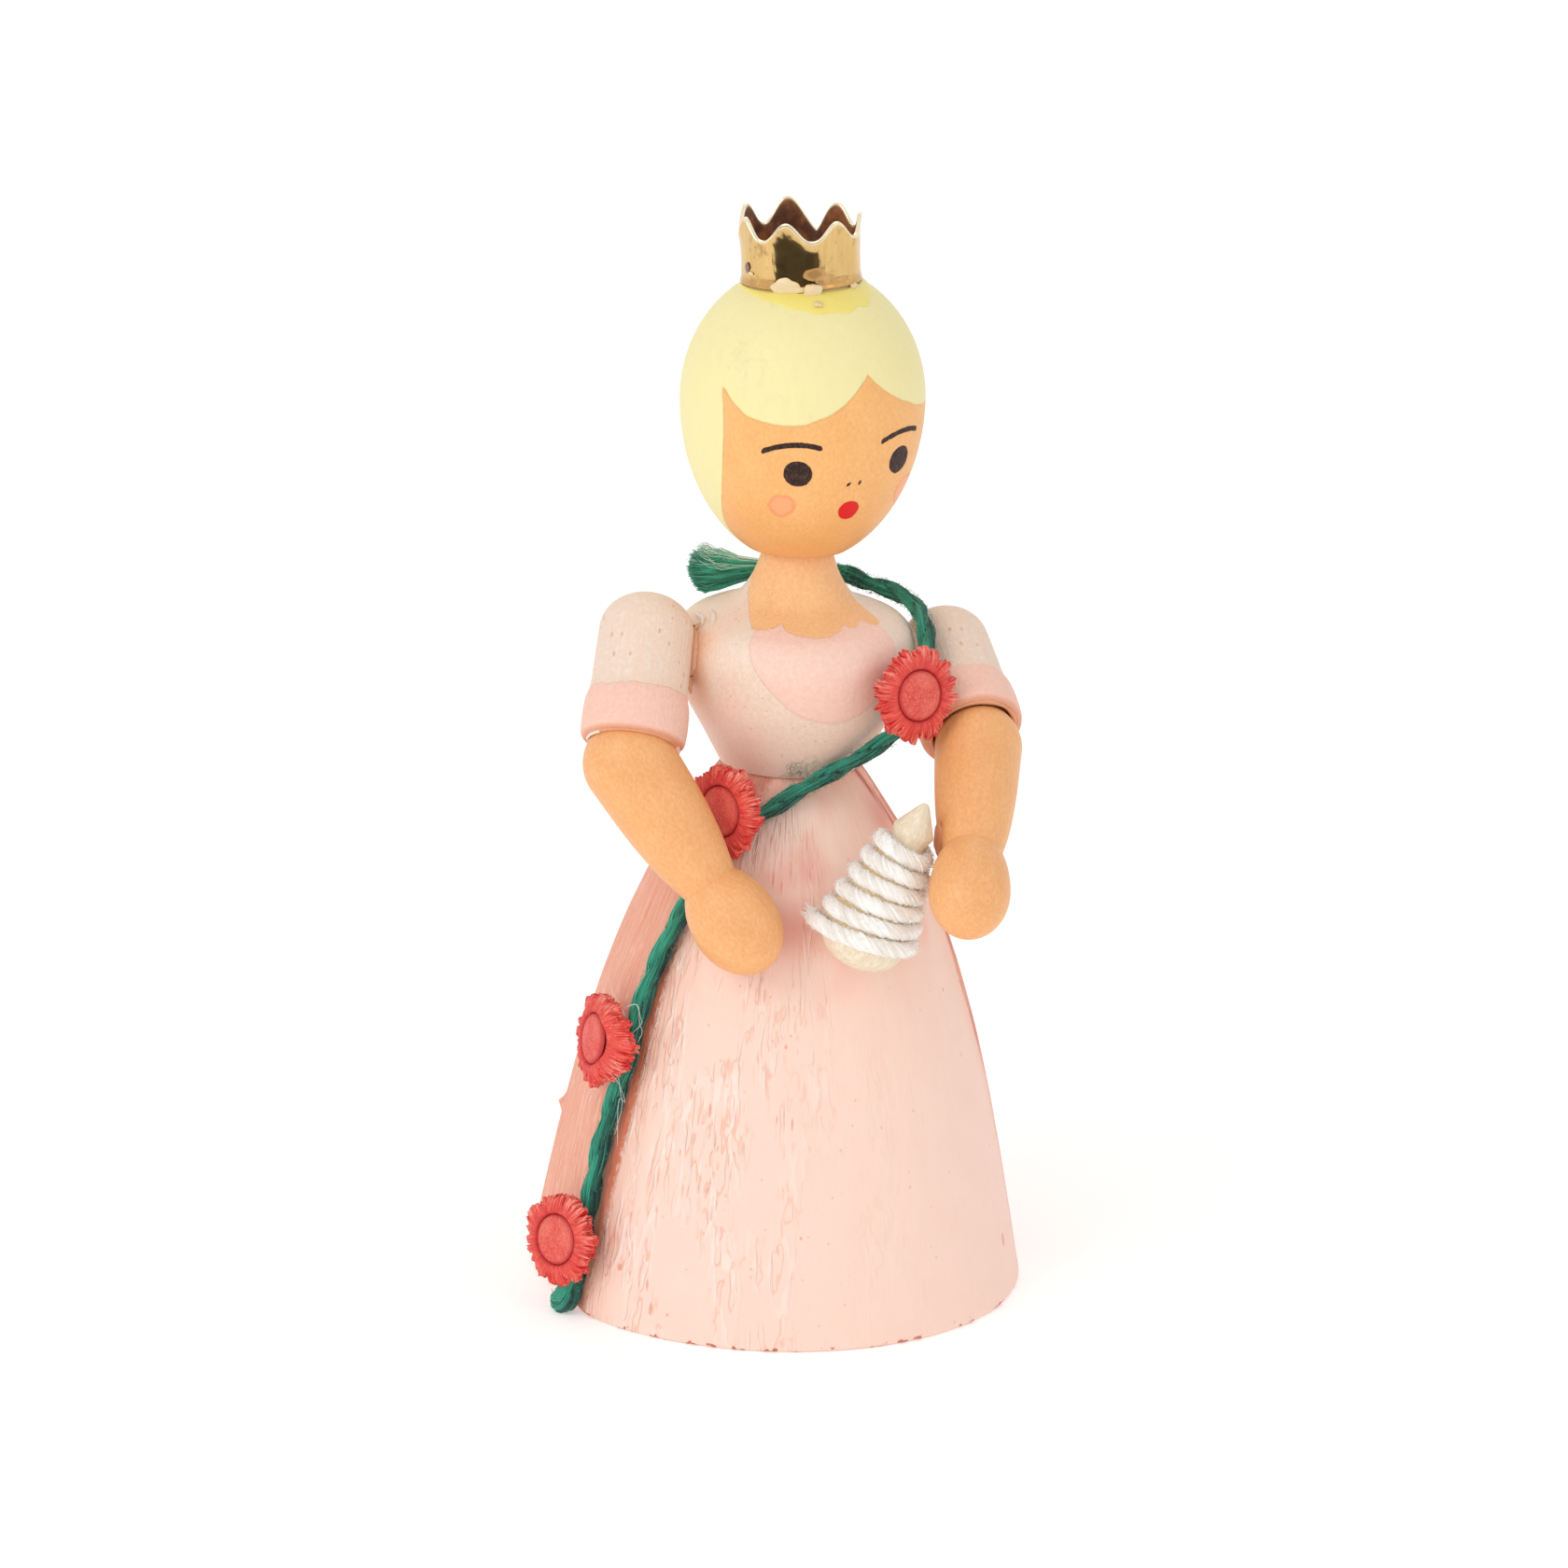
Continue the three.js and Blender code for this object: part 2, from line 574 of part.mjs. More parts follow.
// The least gap between one turn and the next, on the points
let leastGap = Infinity;
cottonPoints.forEach((point, place) => {
  cottonPoints.slice(place + COTTON_STEPS / 2).forEach((other) => {
    leastGap = Math.min(leastGap, point.distanceTo(other) - 2 * COTTON_RADIUS);
  });
});
console.log(`Least gap between turns of the cotton: ${leastGap.toFixed(3)} mm`);
add(
  "spindle_thread",
  aim(tube(cottonPoints, COTTON_RADIUS, COTTON_SIDES), SPINDLE_AIM, spindleTip),
  FINISHES.cotton,
);

// Twine: one length, eight-sided
function besideSkirt(degrees, share, clear) {
  const height = share * WAIST_HEIGHT;
  return aroundAxis([degrees, skirtRadius(height) + clear, height]);
}
const twineCurve = new THREE.CatmullRomCurve3([
  ...TWINE_ON_TORSO.map(([degrees, radius, height]) => aroundAxis([degrees, radius, torsoFoot + height])),
  ...TWINE_ON_SKIRT.map(([degrees, share]) => {
    const slope = SKIRT_FLARE + skirtTurnIn * (SKIRT_CURL + 1) * share ** SKIRT_CURL;
    return besideSkirt(degrees, share, (TWINE_RADIUS + GLUE_GAP) * Math.hypot(1, slope));
  }),
]);
function twine(radius) {
  const section = Array.from({ length: TWINE_SIDES }, (_, side) => {
    const angle = (2 * Math.PI * side) / TWINE_SIDES;
    return new THREE.Vector2(radius * Math.cos(angle), radius * Math.sin(angle));
  });
  return new THREE.ExtrudeGeometry(new THREE.Shape(section), { steps: TWINE_STEPS, extrudePath: twineCurve });
}
add("sash_twine", twine(TWINE_RADIUS), FINISHES.twine);

// Flowers: a disc slit into petals and bored for a button, grooved where it lies over the twine
function petalDisc() {
  const outline = [];
  const addPoint = (degrees, reach) => {
    const angle = degToRad(degrees);
    outline.push(new THREE.Vector2(reach * Math.cos(angle), reach * Math.sin(angle)));
  };
  for (let petal = 0; petal < PETALS; petal += 1) {
    const middle = (360 * petal) / PETALS;
    const reach = FLOWER_RADIUS - (petal % 3) * PETAL_STEP;
    addPoint(middle - PETAL_HALF_WIDTH, reach);
    addPoint(middle + PETAL_HALF_WIDTH, reach);
    addPoint(middle + 180 / PETALS, FLOWER_RADIUS - PETAL_SLIT);
  }
  const disc = new THREE.ExtrudeGeometry(new THREE.Shape(outline), {
    depth: FLOWER_THICKNESS,
    bevelEnabled: false,
  });
  return disc.translate(0, 0, -FLOWER_THICKNESS / 2);
}
const buttonFoot = FLOWER_THICKNESS / 2 - BUTTON_SET_IN;
const buttonTop = FLOWER_THICKNESS / 2 + BUTTON_PROUD;
for (const [name, { onTorso, onSkirt, facing, up }] of Object.entries(FLOWERS)) {
  const middle = onTorso
    ? aroundAxis([onTorso[0], onTorso[1], torsoFoot + onTorso[2]])
    : besideSkirt(onSkirt[0], onSkirt[1], 2 * TWINE_RADIUS + GLUE_GAP + onSkirt[2]);
  const towards = aroundAxis([facing, 1, Math.tan(degToRad(up))]).normalize();
  const bore = rod(BUTTON_RADIUS + SLIP_GAP, buttonFoot - GLUE_GAP, FLOWER_THICKNESS, SMALL_SIDES);
  add(
    `flower_${name}_petals`,
    cut(aim(petalDisc(), towards, middle), aim(bore, towards, middle), twine(TWINE_RADIUS + GLUE_GAP)),
    FINISHES.petals,
  );
  const button = turned(
    [
      [0, buttonFoot],
      [BUTTON_RADIUS, buttonFoot],
      [BUTTON_RADIUS, buttonTop - BUTTON_DOME],
      [BUTTON_RADIUS - BUTTON_DOME, buttonTop - BUTTON_DOME / 3],
      [0, buttonTop],
    ],
    SMALL_SIDES,
  );
  add(`flower_${name}_button`, aim(button, towards, middle), FINISHES.button);
}

export default figure;
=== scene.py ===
# A turned wooden princess figure: her painted, wound and glued pieces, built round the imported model.
# She stands on Z = 0 with her axis on Z and faces -Y, so her right side is at -X. Sizes are written in
# millimetres and placed in metres, and an azimuth is in degrees round from her front, towards her left.
import math
import random

import bpy
import numpy as np
from mathutils import Matrix, Vector, noise


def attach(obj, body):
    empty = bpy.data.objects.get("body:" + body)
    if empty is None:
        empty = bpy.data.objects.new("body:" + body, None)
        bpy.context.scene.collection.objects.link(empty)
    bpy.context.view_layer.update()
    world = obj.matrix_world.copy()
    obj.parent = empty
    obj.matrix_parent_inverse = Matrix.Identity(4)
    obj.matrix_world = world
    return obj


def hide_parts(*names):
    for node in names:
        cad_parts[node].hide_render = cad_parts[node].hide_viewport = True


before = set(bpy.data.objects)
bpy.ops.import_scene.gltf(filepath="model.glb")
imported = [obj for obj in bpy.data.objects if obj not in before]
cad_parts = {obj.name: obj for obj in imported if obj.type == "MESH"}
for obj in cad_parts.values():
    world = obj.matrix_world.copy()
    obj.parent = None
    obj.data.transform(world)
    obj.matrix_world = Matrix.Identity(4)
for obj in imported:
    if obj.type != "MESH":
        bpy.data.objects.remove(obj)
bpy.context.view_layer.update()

MM = 0.001
UP = Vector((0, 0, 1))
FULL_TURN = 2 * math.pi

# Sizes of the turnings, as they were turned
GLUE_GAP = 0.1
SLIP_GAP = 0.15
TENON_ROOM = 0.5
SKIRT_RADIUS = 18.2
SKIRT_WAIST_RADIUS = 4.9
WAIST_HEIGHT = 39.1
SKIRT_FLARE = 0.19
SKIRT_CURL = 2.75
HEM_BEVEL = 0.35
WAIST_TENON_RADIUS = 2.0
WAIST_TENON_LENGTH = 5.0
TORSO_FOOT = WAIST_HEIGHT + GLUE_GAP
NECK_TOP = TORSO_FOOT + 15.9
NECK_TENON_RADIUS = 1.5
NECK_TENON_LENGTH = 5.0
ARM_FLAT = 8.5
HEAD_RADIUS = 8.8
HEAD_RISE = 9.6
HEAD_DROP = 12.1
HEAD_SEAT = NECK_TOP + GLUE_GAP
HEAD_SEAT_DROP = 11.0
HEAD_MIDDLE = HEAD_SEAT + HEAD_SEAT_DROP


# Modelling, as by hand
def clear_selection():
    if bpy.context.object and bpy.context.object.mode != "OBJECT":
        bpy.ops.object.mode_set(mode="OBJECT")
    bpy.ops.object.select_all(action="DESELECT")


def pick(piece):
    clear_selection()
    piece.select_set(True)
    bpy.context.view_layer.objects.active = piece


def apply_modifier(piece, kind, **settings):
    pick(piece)
    modifier = piece.modifiers.new(kind.title(), kind)
    for name, value in settings.items():
        setattr(modifier, name, value)
    bpy.ops.object.modifier_apply(modifier=modifier.name)


def turned(name, profile, sides):
    """Draws a profile of [radius, height] points out of one point, and turns it about Z."""
    clear_selection()
    bpy.ops.mesh.primitive_plane_add(size=MM)
    piece = bpy.context.object
    piece.name = name
    bpy.ops.object.mode_set(mode="EDIT")
    bpy.ops.mesh.merge(type="CENTER")
    bpy.ops.transform.translate(value=(profile[0][0] * MM, 0, profile[0][1] * MM))
    for (radius, height), (next_radius, next_height) in zip(profile, profile[1:]):
        step = ((next_radius - radius) * MM, 0, (next_height - height) * MM)
        bpy.ops.mesh.extrude_region_move(TRANSFORM_OT_translate={"value": step})
    bpy.ops.mesh.select_all(action="SELECT")
    bpy.ops.mesh.spin(steps=sides, angle=FULL_TURN, center=(0, 0, 0), axis=(0, 0, 1))
    bpy.ops.mesh.select_all(action="SELECT")
    bpy.ops.mesh.remove_doubles(threshold=0.002 * MM)
    bpy.ops.mesh.normals_make_consistent(inside=False)
    bpy.ops.object.mode_set(mode="OBJECT")
    return piece


def points_of(piece):
    places = np.zeros(len(piece.data.vertices) * 3)
    piece.data.vertices.foreach_get("co", places)
    return places.reshape(-1, 3) / MM


def move_points(piece, places):
    piece.data.vertices.foreach_set("co", (places * MM).ravel())
    piece.data.update()


def join(name, pieces):
    clear_selection()
    for piece in pieces:
        piece.select_set(True)
    bpy.context.view_layer.objects.active = pieces[0]
    bpy.ops.object.join()
    pieces[0].name = name
    return pieces[0]


def to_mesh(piece):
    pick(piece)
    bpy.ops.object.convert(target="MESH")
    return bpy.context.object


def cut(piece, tool):
    apply_modifier(piece, "BOOLEAN", operation="DIFFERENCE", object=tool, solver="EXACT")
    bpy.data.objects.remove(tool)


def smooth_faces(piece, degrees=35):
    pick(piece)
    bpy.ops.object.shade_smooth_by_angle(angle=math.radians(degrees), keep_sharp_edges=True)


def dressed(piece, finish, slot, *nodes, place=None, sharp=35):
    """Gives a piece its finish, and keeps each point's place on the lathe in mm, for grain and paint."""
    own = (place or Matrix.Identity(4)).inverted()
    there = points_of(piece) * MM
    turn = np.array(own.to_3x3())
    back = (there @ turn.T + np.array(own.translation)) / MM
    lathe = piece.data.attributes.new("lathe", "FLOAT_VECTOR", "POINT")
    lathe.data.foreach_set("vector", back.astype(np.float32).ravel())
    if sharp:
        smooth_faces(piece, sharp)
    piece.data.materials.clear()
    piece.data.materials.append(finish)
    if nodes:
        piece.name = nodes[0] + "_finished"
    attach(piece, "root")
    if nodes:
        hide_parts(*nodes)
    return piece


def aim(direction, at):
    """Where a piece that was turned about Z stands, once it points along a direction from a place in mm."""
    turn = UP.rotation_difference(Vector(direction).normalized())
    return Matrix.Translation(Vector(at) * MM) @ turn.to_matrix().to_4x4()


def settle(piece, place):
    """Moves a piece to its place, and puts that place into its mesh."""
    pick(piece)
    piece.matrix_world = place
    bpy.ops.object.transform_apply(location=True, rotation=True, scale=True)
    return piece


# Lines and curves, in mm
HAIR_END = 0.35
SIDE_LIGHT_SHARE = 0.52


def lerp(start, end, share):
    return start + (end - start) * share


def catmull(before, start, end, after, share):
    return 0.5 * (
        2 * start
        + (end - before) * share
        + (2 * before - 5 * start + 4 * end - after) * share ** 2
        + (3 * start - before - 3 * end + after) * share ** 3
    )


def smooth_line(points, steps):
    """A smooth line of [radius, height] points through a few of them."""
    points = [Vector((radius, height)) for radius, height in points]
    last = len(points) - 1
    line = []
    for step in range(steps + 1):
        place = last * step / steps
        left = min(int(place), last - 1)
        around = [points[min(max(left + shift, 0), last)] for shift in (-1, 0, 1, 2)]
        line.append(tuple(catmull(*around, place - left)))
    return line


def arc(radius, rise, middle, start, end, steps):
    """A stretch of an ellipse about a point on the axis, between two angles from its widest ring."""
    line = []
    for step in range(steps + 1):
        degrees = lerp(start, end, step / steps)
        reach = 0 if abs(abs(degrees) - 90) < 1e-9 else math.cos(math.radians(degrees))
        line.append((radius * reach, middle + rise * math.sin(math.radians(degrees))))
    return line


def straight(start, end, steps):
    return [(lerp(start[0], end[0], n / steps), lerp(start[1], end[1], n / steps)) for n in range(steps + 1)]


def around_axis(degrees, radius, height):
    angle = math.radians(degrees)
    return Vector((radius * math.cos(angle), radius * math.sin(angle), height))


def facing(azimuth, elevation=0.0):
    """The direction from the middle towards an azimuth and an elevation."""
    around = math.radians(azimuth)
    above = math.radians(elevation)
    return Vector((math.sin(around) * math.cos(above), -math.cos(around) * math.cos(above), math.sin(above)))


def outward(place):
    return Vector((place.x, place.y, 0)).normalized()


def azimuth_of(x, y):
    return math.degrees(math.atan2(x, -y))


def within(value, low, high):
    """How far a value is on its way from low to high, from 0 to 1."""
    return min(max((value - low) / (high - low), 0), 1)


def hill(value, middle, reach, power=2):
    return ((value - middle) / reach) ** power


def route_through(points, per_span):
    """A smooth route in space through points, whose spans follow the distance between them."""
    points = [2 * points[0] - points[1], *points, 2 * points[-1] - points[-2]]
    route = []
    for p0, p1, p2, p3 in zip(points, points[1:], points[2:], points[3:]):
        t1 = max((p1 - p0).length, 1e-6) ** 0.5
        t2 = t1 + max((p2 - p1).length, 1e-6) ** 0.5
        t3 = t2 + max((p3 - p2).length, 1e-6) ** 0.5
        for step in range(per_span):
            t = lerp(t1, t2, step / per_span)
            a1 = p0 * ((t1 - t) / t1) + p1 * (t / t1)
            a2 = p1 * ((t2 - t) / (t2 - t1)) + p2 * ((t - t1) / (t2 - t1))
            a3 = p2 * ((t3 - t) / (t3 - t2)) + p3 * ((t - t2) / (t3 - t2))
            b1 = a1 * ((t2 - t) / t2) + a2 * (t / t2)
            b2 = a2 * ((t3 - t) / (t3 - t1)) + a3 * ((t - t1) / (t3 - t1))
            route.append(b1 * ((t2 - t) / (t2 - t1)) + b2 * ((t - t1) / (t2 - t1)))
    return [*route, points[-2]]


def along(route):
    """For each point of a route: the length up to it, its direction, and two directions across it."""
    lengths = [0.0]
    for before, point in zip(route, route[1:]):
        lengths.append(lengths[-1] + (point - before).length)
    last = len(route) - 1
    tangents = [(route[min(n + 1, last)] - route[max(n - 1, 0)]).normalized() for n in range(last + 1)]
    side = tangents[0].orthogonal().normalized()
    frames = []
    for length, tangent in zip(lengths, tangents):
        side = (side - tangent * side.dot(tangent)).normalized()
        frames.append((length, tangent, side, tangent.cross(side)))
    return frames


def shaded(piece, shades):
    """Gives each of a piece's equal strands its own shade, from 0 to 1."""
    share = len(piece.data.vertices) // len(shades)
    values = np.repeat(np.array(shades, dtype=np.float32), share)
    piece.data.attributes.new("shade", "FLOAT", "POINT").data.foreach_set("value", values)
    return piece


def new_tubes(name, radius, sides):
    curve = bpy.data.curves.new(name, "CURVE")
    curve.dimensions = "3D"
    curve.bevel_depth = radius * MM
    curve.bevel_resolution = sides
    curve.use_fill_caps = True
    return curve


def add_tube(curve, places, widths, closed=False):
    """Adds a tube through places in mm. Its widths are shares of the radius that the tubes have."""
    spline = curve.splines.new("POLY")
    spline.use_cyclic_u = closed
    spline.points.add(len(places) - 1)
    for point, place, width in zip(spline.points, places, widths):
        point.co = (*(place * MM), 1.0)
        point.radius = width


def tubes_to_mesh(name, curve):
    piece = bpy.data.objects.new(name, curve)
    bpy.context.scene.collection.objects.link(piece)
    return to_mesh(piece)


def stranded(name, route, plies, ply_out, pitch, strands, strand_out, lay, radius, sides=1, swell=None):
    """Plies of strands along a route: the plies turn round it once in a pitch, the strands once in a lay."""
    curve = new_tubes(name, radius, sides)
    frames = along(route)
    whole = frames[-1][0]
    for ply in range(plies):
        for strand in range(strands):
            places = []
            widths = []
            for place, (length, _, side, other) in zip(route, frames):
                width = swell(length, whole) if swell else 1.0
                angle = FULL_TURN * (ply / plies + length / pitch)
                own = FULL_TURN * (strand / strands + length / lay)
                loose = 1 + 0.3 * noise.noise(Vector((length * 0.8, strand * 3.7, ply * 5.1)))
                across = ply_out * math.cos(angle) + strand_out * loose * math.cos(own)
                upward = ply_out * math.sin(angle) + strand_out * loose * math.sin(own)
                uneven = 0.2 * noise.noise(Vector((length * 1.1, strand * 2.3, ply + 9.0)))
                places.append(place + (side * across + other * upward) * width)
                widths.append(width * (1 + uneven))
            add_tube(curve, places, widths)
    shake = random.Random(len(route))
    return shaded(tubes_to_mesh(name, curve), [shake.uniform(0, 1) for _ in range(plies * strands)])


def painted_side_light(piece, route, reach, towards):
    """Makes a yarn's strands lighter on one side and darker on the other: painted light and shade from a
    fixed direction.
    """
    points = points_of(piece)
    middles = np.array([tuple(place) for place in route])
    nearest = []
    for first in range(0, len(points), 4000):
        block = points[first:first + 4000]
        apart = ((block[:, None, :] - middles[None, :, :]) ** 2).sum(axis=2)
        nearest.append(np.argmin(apart, axis=1))
    off = points - middles[np.concatenate(nearest)]
    lit = off @ np.array(towards.normalized()) / reach
    values = np.zeros(len(points), dtype=np.float32)
    piece.data.attributes["shade"].data.foreach_get("value", values)
    values = values * (1 - SIDE_LIGHT_SHARE) + np.clip(0.2 + 0.8 * lit, 0, 1) * SIDE_LIGHT_SHARE
    piece.data.attributes["shade"].data.foreach_set("value", values.astype(np.float32))


def bead(name, line, radii, closed=True):
    """A bead of glue, which closes on itself unless it is left open."""
    curve = new_tubes(name, 1.0, 3)
    add_tube(curve, line, radii, closed)
    return tubes_to_mesh(name, curve)


def lump(name, place, axes, sizes, seed=0):
    """A rounded lump of glue, uneven, with half sizes in mm along three directions."""
    clear_selection()
    bpy.ops.mesh.primitive_ico_sphere_add(subdivisions=4, radius=MM)
    piece = bpy.context.object
    piece.name = name
    points = points_of(piece)
    for number, (x, y, z) in enumerate(points):
        swell = 1 + 0.3 * noise.noise(Vector((x * 1.3 + seed, y * 1.3, z * 1.3)))
        out = axes[0] * (x * sizes[0]) + axes[1] * (y * sizes[1]) + axes[2] * (z * sizes[2])
        points[number] = place + out * swell
    move_points(piece, points)
    return piece


def fibres(name, lines, radius, sides=0):
    """Fine hairs, each through a few points in mm and thin at its end, as one piece."""
    curve = new_tubes(name, radius, sides)
    for line in lines:
        add_tube(curve, line, [1.0] * (len(line) - 1) + [HAIR_END])
    shake = random.Random(len(lines))
    return shaded(tubes_to_mesh(name, curve), [shake.uniform(0, 1) for _ in lines])


# Finishes: wiring for nodes, and the effects that several finishes share
def srgb(red, green, blue):
    """A colour written from 0 to 255, as a colour socket takes it."""
    shares = [channel / 255 for channel in (red, green, blue)]
    return (*[s / 12.92 if s <= 0.04045 else ((s + 0.055) / 1.055) ** 2.4 for s in shares], 1.0)


class Wiring:
    """The nodes of one finish or effect."""

    def __init__(self, tree):
        self.tree = tree

    def plug(self, socket, value):
        if isinstance(value, bpy.types.NodeSocket):
            self.tree.links.new(value, socket)
        else:
            socket.default_value = value

    def put(self, kind, inputs=None, **settings):
        node = self.tree.nodes.new("ShaderNode" + kind)
        count = len(self.tree.nodes)
        node.location = (190 * (count % 9), -260 * (count // 9))
        for name, value in settings.items():
            setattr(node, name, value)
        for name, value in (inputs or {}).items():
            self.plug(node.inputs[name], value)
        return node

    def maths(self, operation, first, second=0.0, third=0.0, clamp=False):
        node = self.put("Math", {0: first, 1: second, 2: third}, operation=operation, use_clamp=clamp)
        return node.outputs[0]

    def times(self, first, second, plus=None):
        if plus is None:
            return self.maths("MULTIPLY", first, second)
        return self.maths("MULTIPLY_ADD", first, second, plus)

    def plus(self, first, second):
        return self.maths("ADD", first, second)

    def minus(self, first, second):
        return self.maths("SUBTRACT", first, second)

    def larger(self, first, second):
        return self.maths("MAXIMUM", first, second)

    def product(self, first, *others):
        for other in others:
            first = self.times(first, other)
        return first

    def apart(self, first, second):
        """How far two values are apart, whichever is larger."""
        return self.maths("ABSOLUTE", self.minus(first, second))

    def hypot(self, first, second):
        return self.maths("SQRT", self.times(first, first, plus=self.times(second, second)))

    def spread(self, value, low, high, to_low=0.0, to_high=1.0):
        """Runs smoothly from to_low to to_high as the value goes from low to high."""
        inputs = {"Value": value, "From Min": low, "From Max": high, "To Min": to_low, "To Max": to_high}
        return self.put("MapRange", inputs, interpolation_type="SMOOTHSTEP").outputs["Result"]

    def tint(self, share, under, over):
        node = self.put("Mix", {0: share, 6: under, 7: over}, data_type="RGBA", blend_type="MIX")
        return node.outputs[2]

    def coat(self, under, mask, share, colour):
        """Lays a share of a colour, written from 0 to 255, over another one where the mask is."""
        return self.tint(self.times(mask, share), under, srgb(*colour))

    def two_tone(self, value, low, high, dark, light):
        """One colour below a low value, another above a high one, and a mix between."""
        return self.tint(self.spread(value, low, high), srgb(*dark), srgb(*light))

    def scaled(self, place, across, upward):
        node = self.put("VectorMath", {0: place}, operation="MULTIPLY")
        parts = self.put("CombineXYZ", {"X": across, "Y": across, "Z": upward})
        self.tree.links.new(parts.outputs[0], node.inputs[1])
        return node.outputs[0]

    def cloud(self, place, scale, detail=3.0, roughness=0.55):
        inputs = {"Vector": place, "Scale": scale, "Detail": detail, "Roughness": roughness}
        return self.put("TexNoise", inputs).outputs[0]

    def curve(self, value, points, low, high, bottom, top, corners=()):
        """Follows a drawn line of [value, result] points. The corners are left sharp."""
        share = self.put(
            "MapRange", {"Value": value, "From Min": low, "From Max": high}, interpolation_type="LINEAR"
        ).outputs["Result"]
        node = self.put("FloatCurve", {"Value": share})
        line = node.mapping.curves[0]
        while len(line.points) < len(points):
            line.points.new(0.5, 0.5)
        for number, (across, result) in enumerate(points):
            point = line.points[number]
            point.location = ((across - low) / (high - low), (result - bottom) / (top - bottom))
            point.handle_type = "VECTOR" if number in corners else "AUTO"
        node.mapping.use_clip = False
        node.mapping.update()
        return self.maths("MULTIPLY_ADD", node.outputs[0], top - bottom, bottom)

    def use(self, effect, inputs):
        node = self.put("Group")
        node.node_tree = effect
        for name, value in inputs.items():
            self.plug(node.inputs[name], value)
        return node.outputs

    def ring(self, place):
        return self.use(round_axis, {"Place": place})

    def streaks(self, place, across, along):
        return self.use(grain, {"Place": place, "Across": across, "Along": along})["Streaks"]

    def specks(self, place, size, share, stretch):
        return self.use(specks, {"Place": place, "Size": size, "Share": share, "Stretch": stretch})["Mask"]

    def edge(self, place, inside, softness, wobble):
        inputs = {"Place": place, "Inside": inside, "Softness": softness, "Wobble": wobble}
        return self.use(painted_edge, inputs)

    def bump(self, height, depth, under=None):
        inputs = {"Height": height, "Distance": depth * MM, "Strength": 1.0}
        if under:
            inputs["Normal"] = under
        return self.put("Bump", inputs).outputs[0]

    def shade(self, colour, roughness, normal=None, **sockets):
        shader = self.put("BsdfPrincipled", {"Base Color": colour, "Roughness": roughness})
        if normal:
            self.plug(shader.inputs["Normal"], normal)
        for name, value in sockets.items():
            self.plug(shader.inputs[name.replace("_", " ")], value)
        out = self.put("OutputMaterial", {"Surface": shader.outputs[0]})
        out.is_active_output = True


def new_finish(name):
    material = bpy.data.materials.new(name)
    material.use_nodes = True
    material.node_tree.nodes.clear()
    return material, Wiring(material.node_tree)


def lathe_finish(name):
    """A new finish, and the place on the lathe in mm, which its grain and paint follow."""
    material, w = new_finish(name)
    return material, w, w.put("Attribute", attribute_name="lathe").outputs["Vector"]


def grey(value):
    return (value, value, value, 1)


def new_effect(name, inputs, outputs, kind_out="Float"):
    tree = bpy.data.node_groups.new(name, "ShaderNodeTree")
    for label, value in inputs.items():
        kind = "NodeSocketVector" if value is None else "NodeSocketFloat"
        socket = tree.interface.new_socket(label, in_out="INPUT", socket_type=kind)
        if value is not None:
            socket.default_value = value
    for label in outputs:
        tree.interface.new_socket(label, in_out="OUTPUT", socket_type="NodeSocket" + kind_out)
    inner = tree.nodes.new("NodeGroupInput")
    outer = tree.nodes.new("NodeGroupOutput")
    return tree, Wiring(tree), inner.outputs, outer.inputs


# Grain: streaks that run up the piece, so many across and along a millimetre
grain, w, given, made = new_effect("grain", {"Place": None, "Across": 4.0, "Along": 0.3}, ["Streaks"])
coarse = w.cloud(w.scaled(given["Place"], given["Across"], given["Along"]), 1.0, 4.0, 0.6)
w.plug(made["Streaks"], w.spread(coarse, 0.3, 0.7))

# Specks: scattered dots of a size in mm, on a share of the places, stretched up the piece
specks, w, given, made = new_effect(
    "specks", {"Place": None, "Size": 0.3, "Share": 0.3, "Stretch": 1.0}, ["Mask"]
)
fineness = w.maths("DIVIDE", 1.0, given["Size"])
upward = w.maths("DIVIDE", fineness, given["Stretch"])
cells = w.put("TexVoronoi", {"Vector": w.scaled(given["Place"], fineness, upward), "Scale": 1.0})
drawn = w.put("SeparateColor", {"Color": cells.outputs["Color"]}).outputs[0]
dot = w.spread(cells.outputs["Distance"], 0.36, 0.16)
w.plug(made["Mask"], w.times(dot, w.maths("LESS_THAN", drawn, given["Share"])))

# Round the axis: azimuth from her front in degrees, height and radius
round_axis, w, given, made = new_effect("round the axis", {"Place": None}, ["Azimuth", "Height", "Radius"])
parts = w.put("SeparateXYZ", {"Vector": given["Place"]}).outputs
forward = w.times(parts["Y"], -1.0)
angle = w.maths("ARCTAN2", parts["X"], forward)
w.plug(made["Azimuth"], w.times(angle, 180 / math.pi))
w.plug(made["Height"], parts["Z"])
w.plug(made["Radius"], w.hypot(parts["X"], parts["Y"]))

# On a drum: the place moved out to one radius, so that streaks follow the slope of a cone
on_drum, w, given, made = new_effect("on a drum", {"Place": None, "Radius": 14.0}, ["Place"], "Vector")
parts = w.put("SeparateXYZ", {"Vector": given["Place"]}).outputs
wider = w.maths("DIVIDE", given["Radius"], w.larger(w.hypot(parts["X"], parts["Y"]), 0.1))
across = w.times(parts["X"], wider)
deep = w.times(parts["Y"], wider)
w.plug(made["Place"], w.put("CombineXYZ", {"X": across, "Y": deep, "Z": parts["Z"]}).outputs[0])

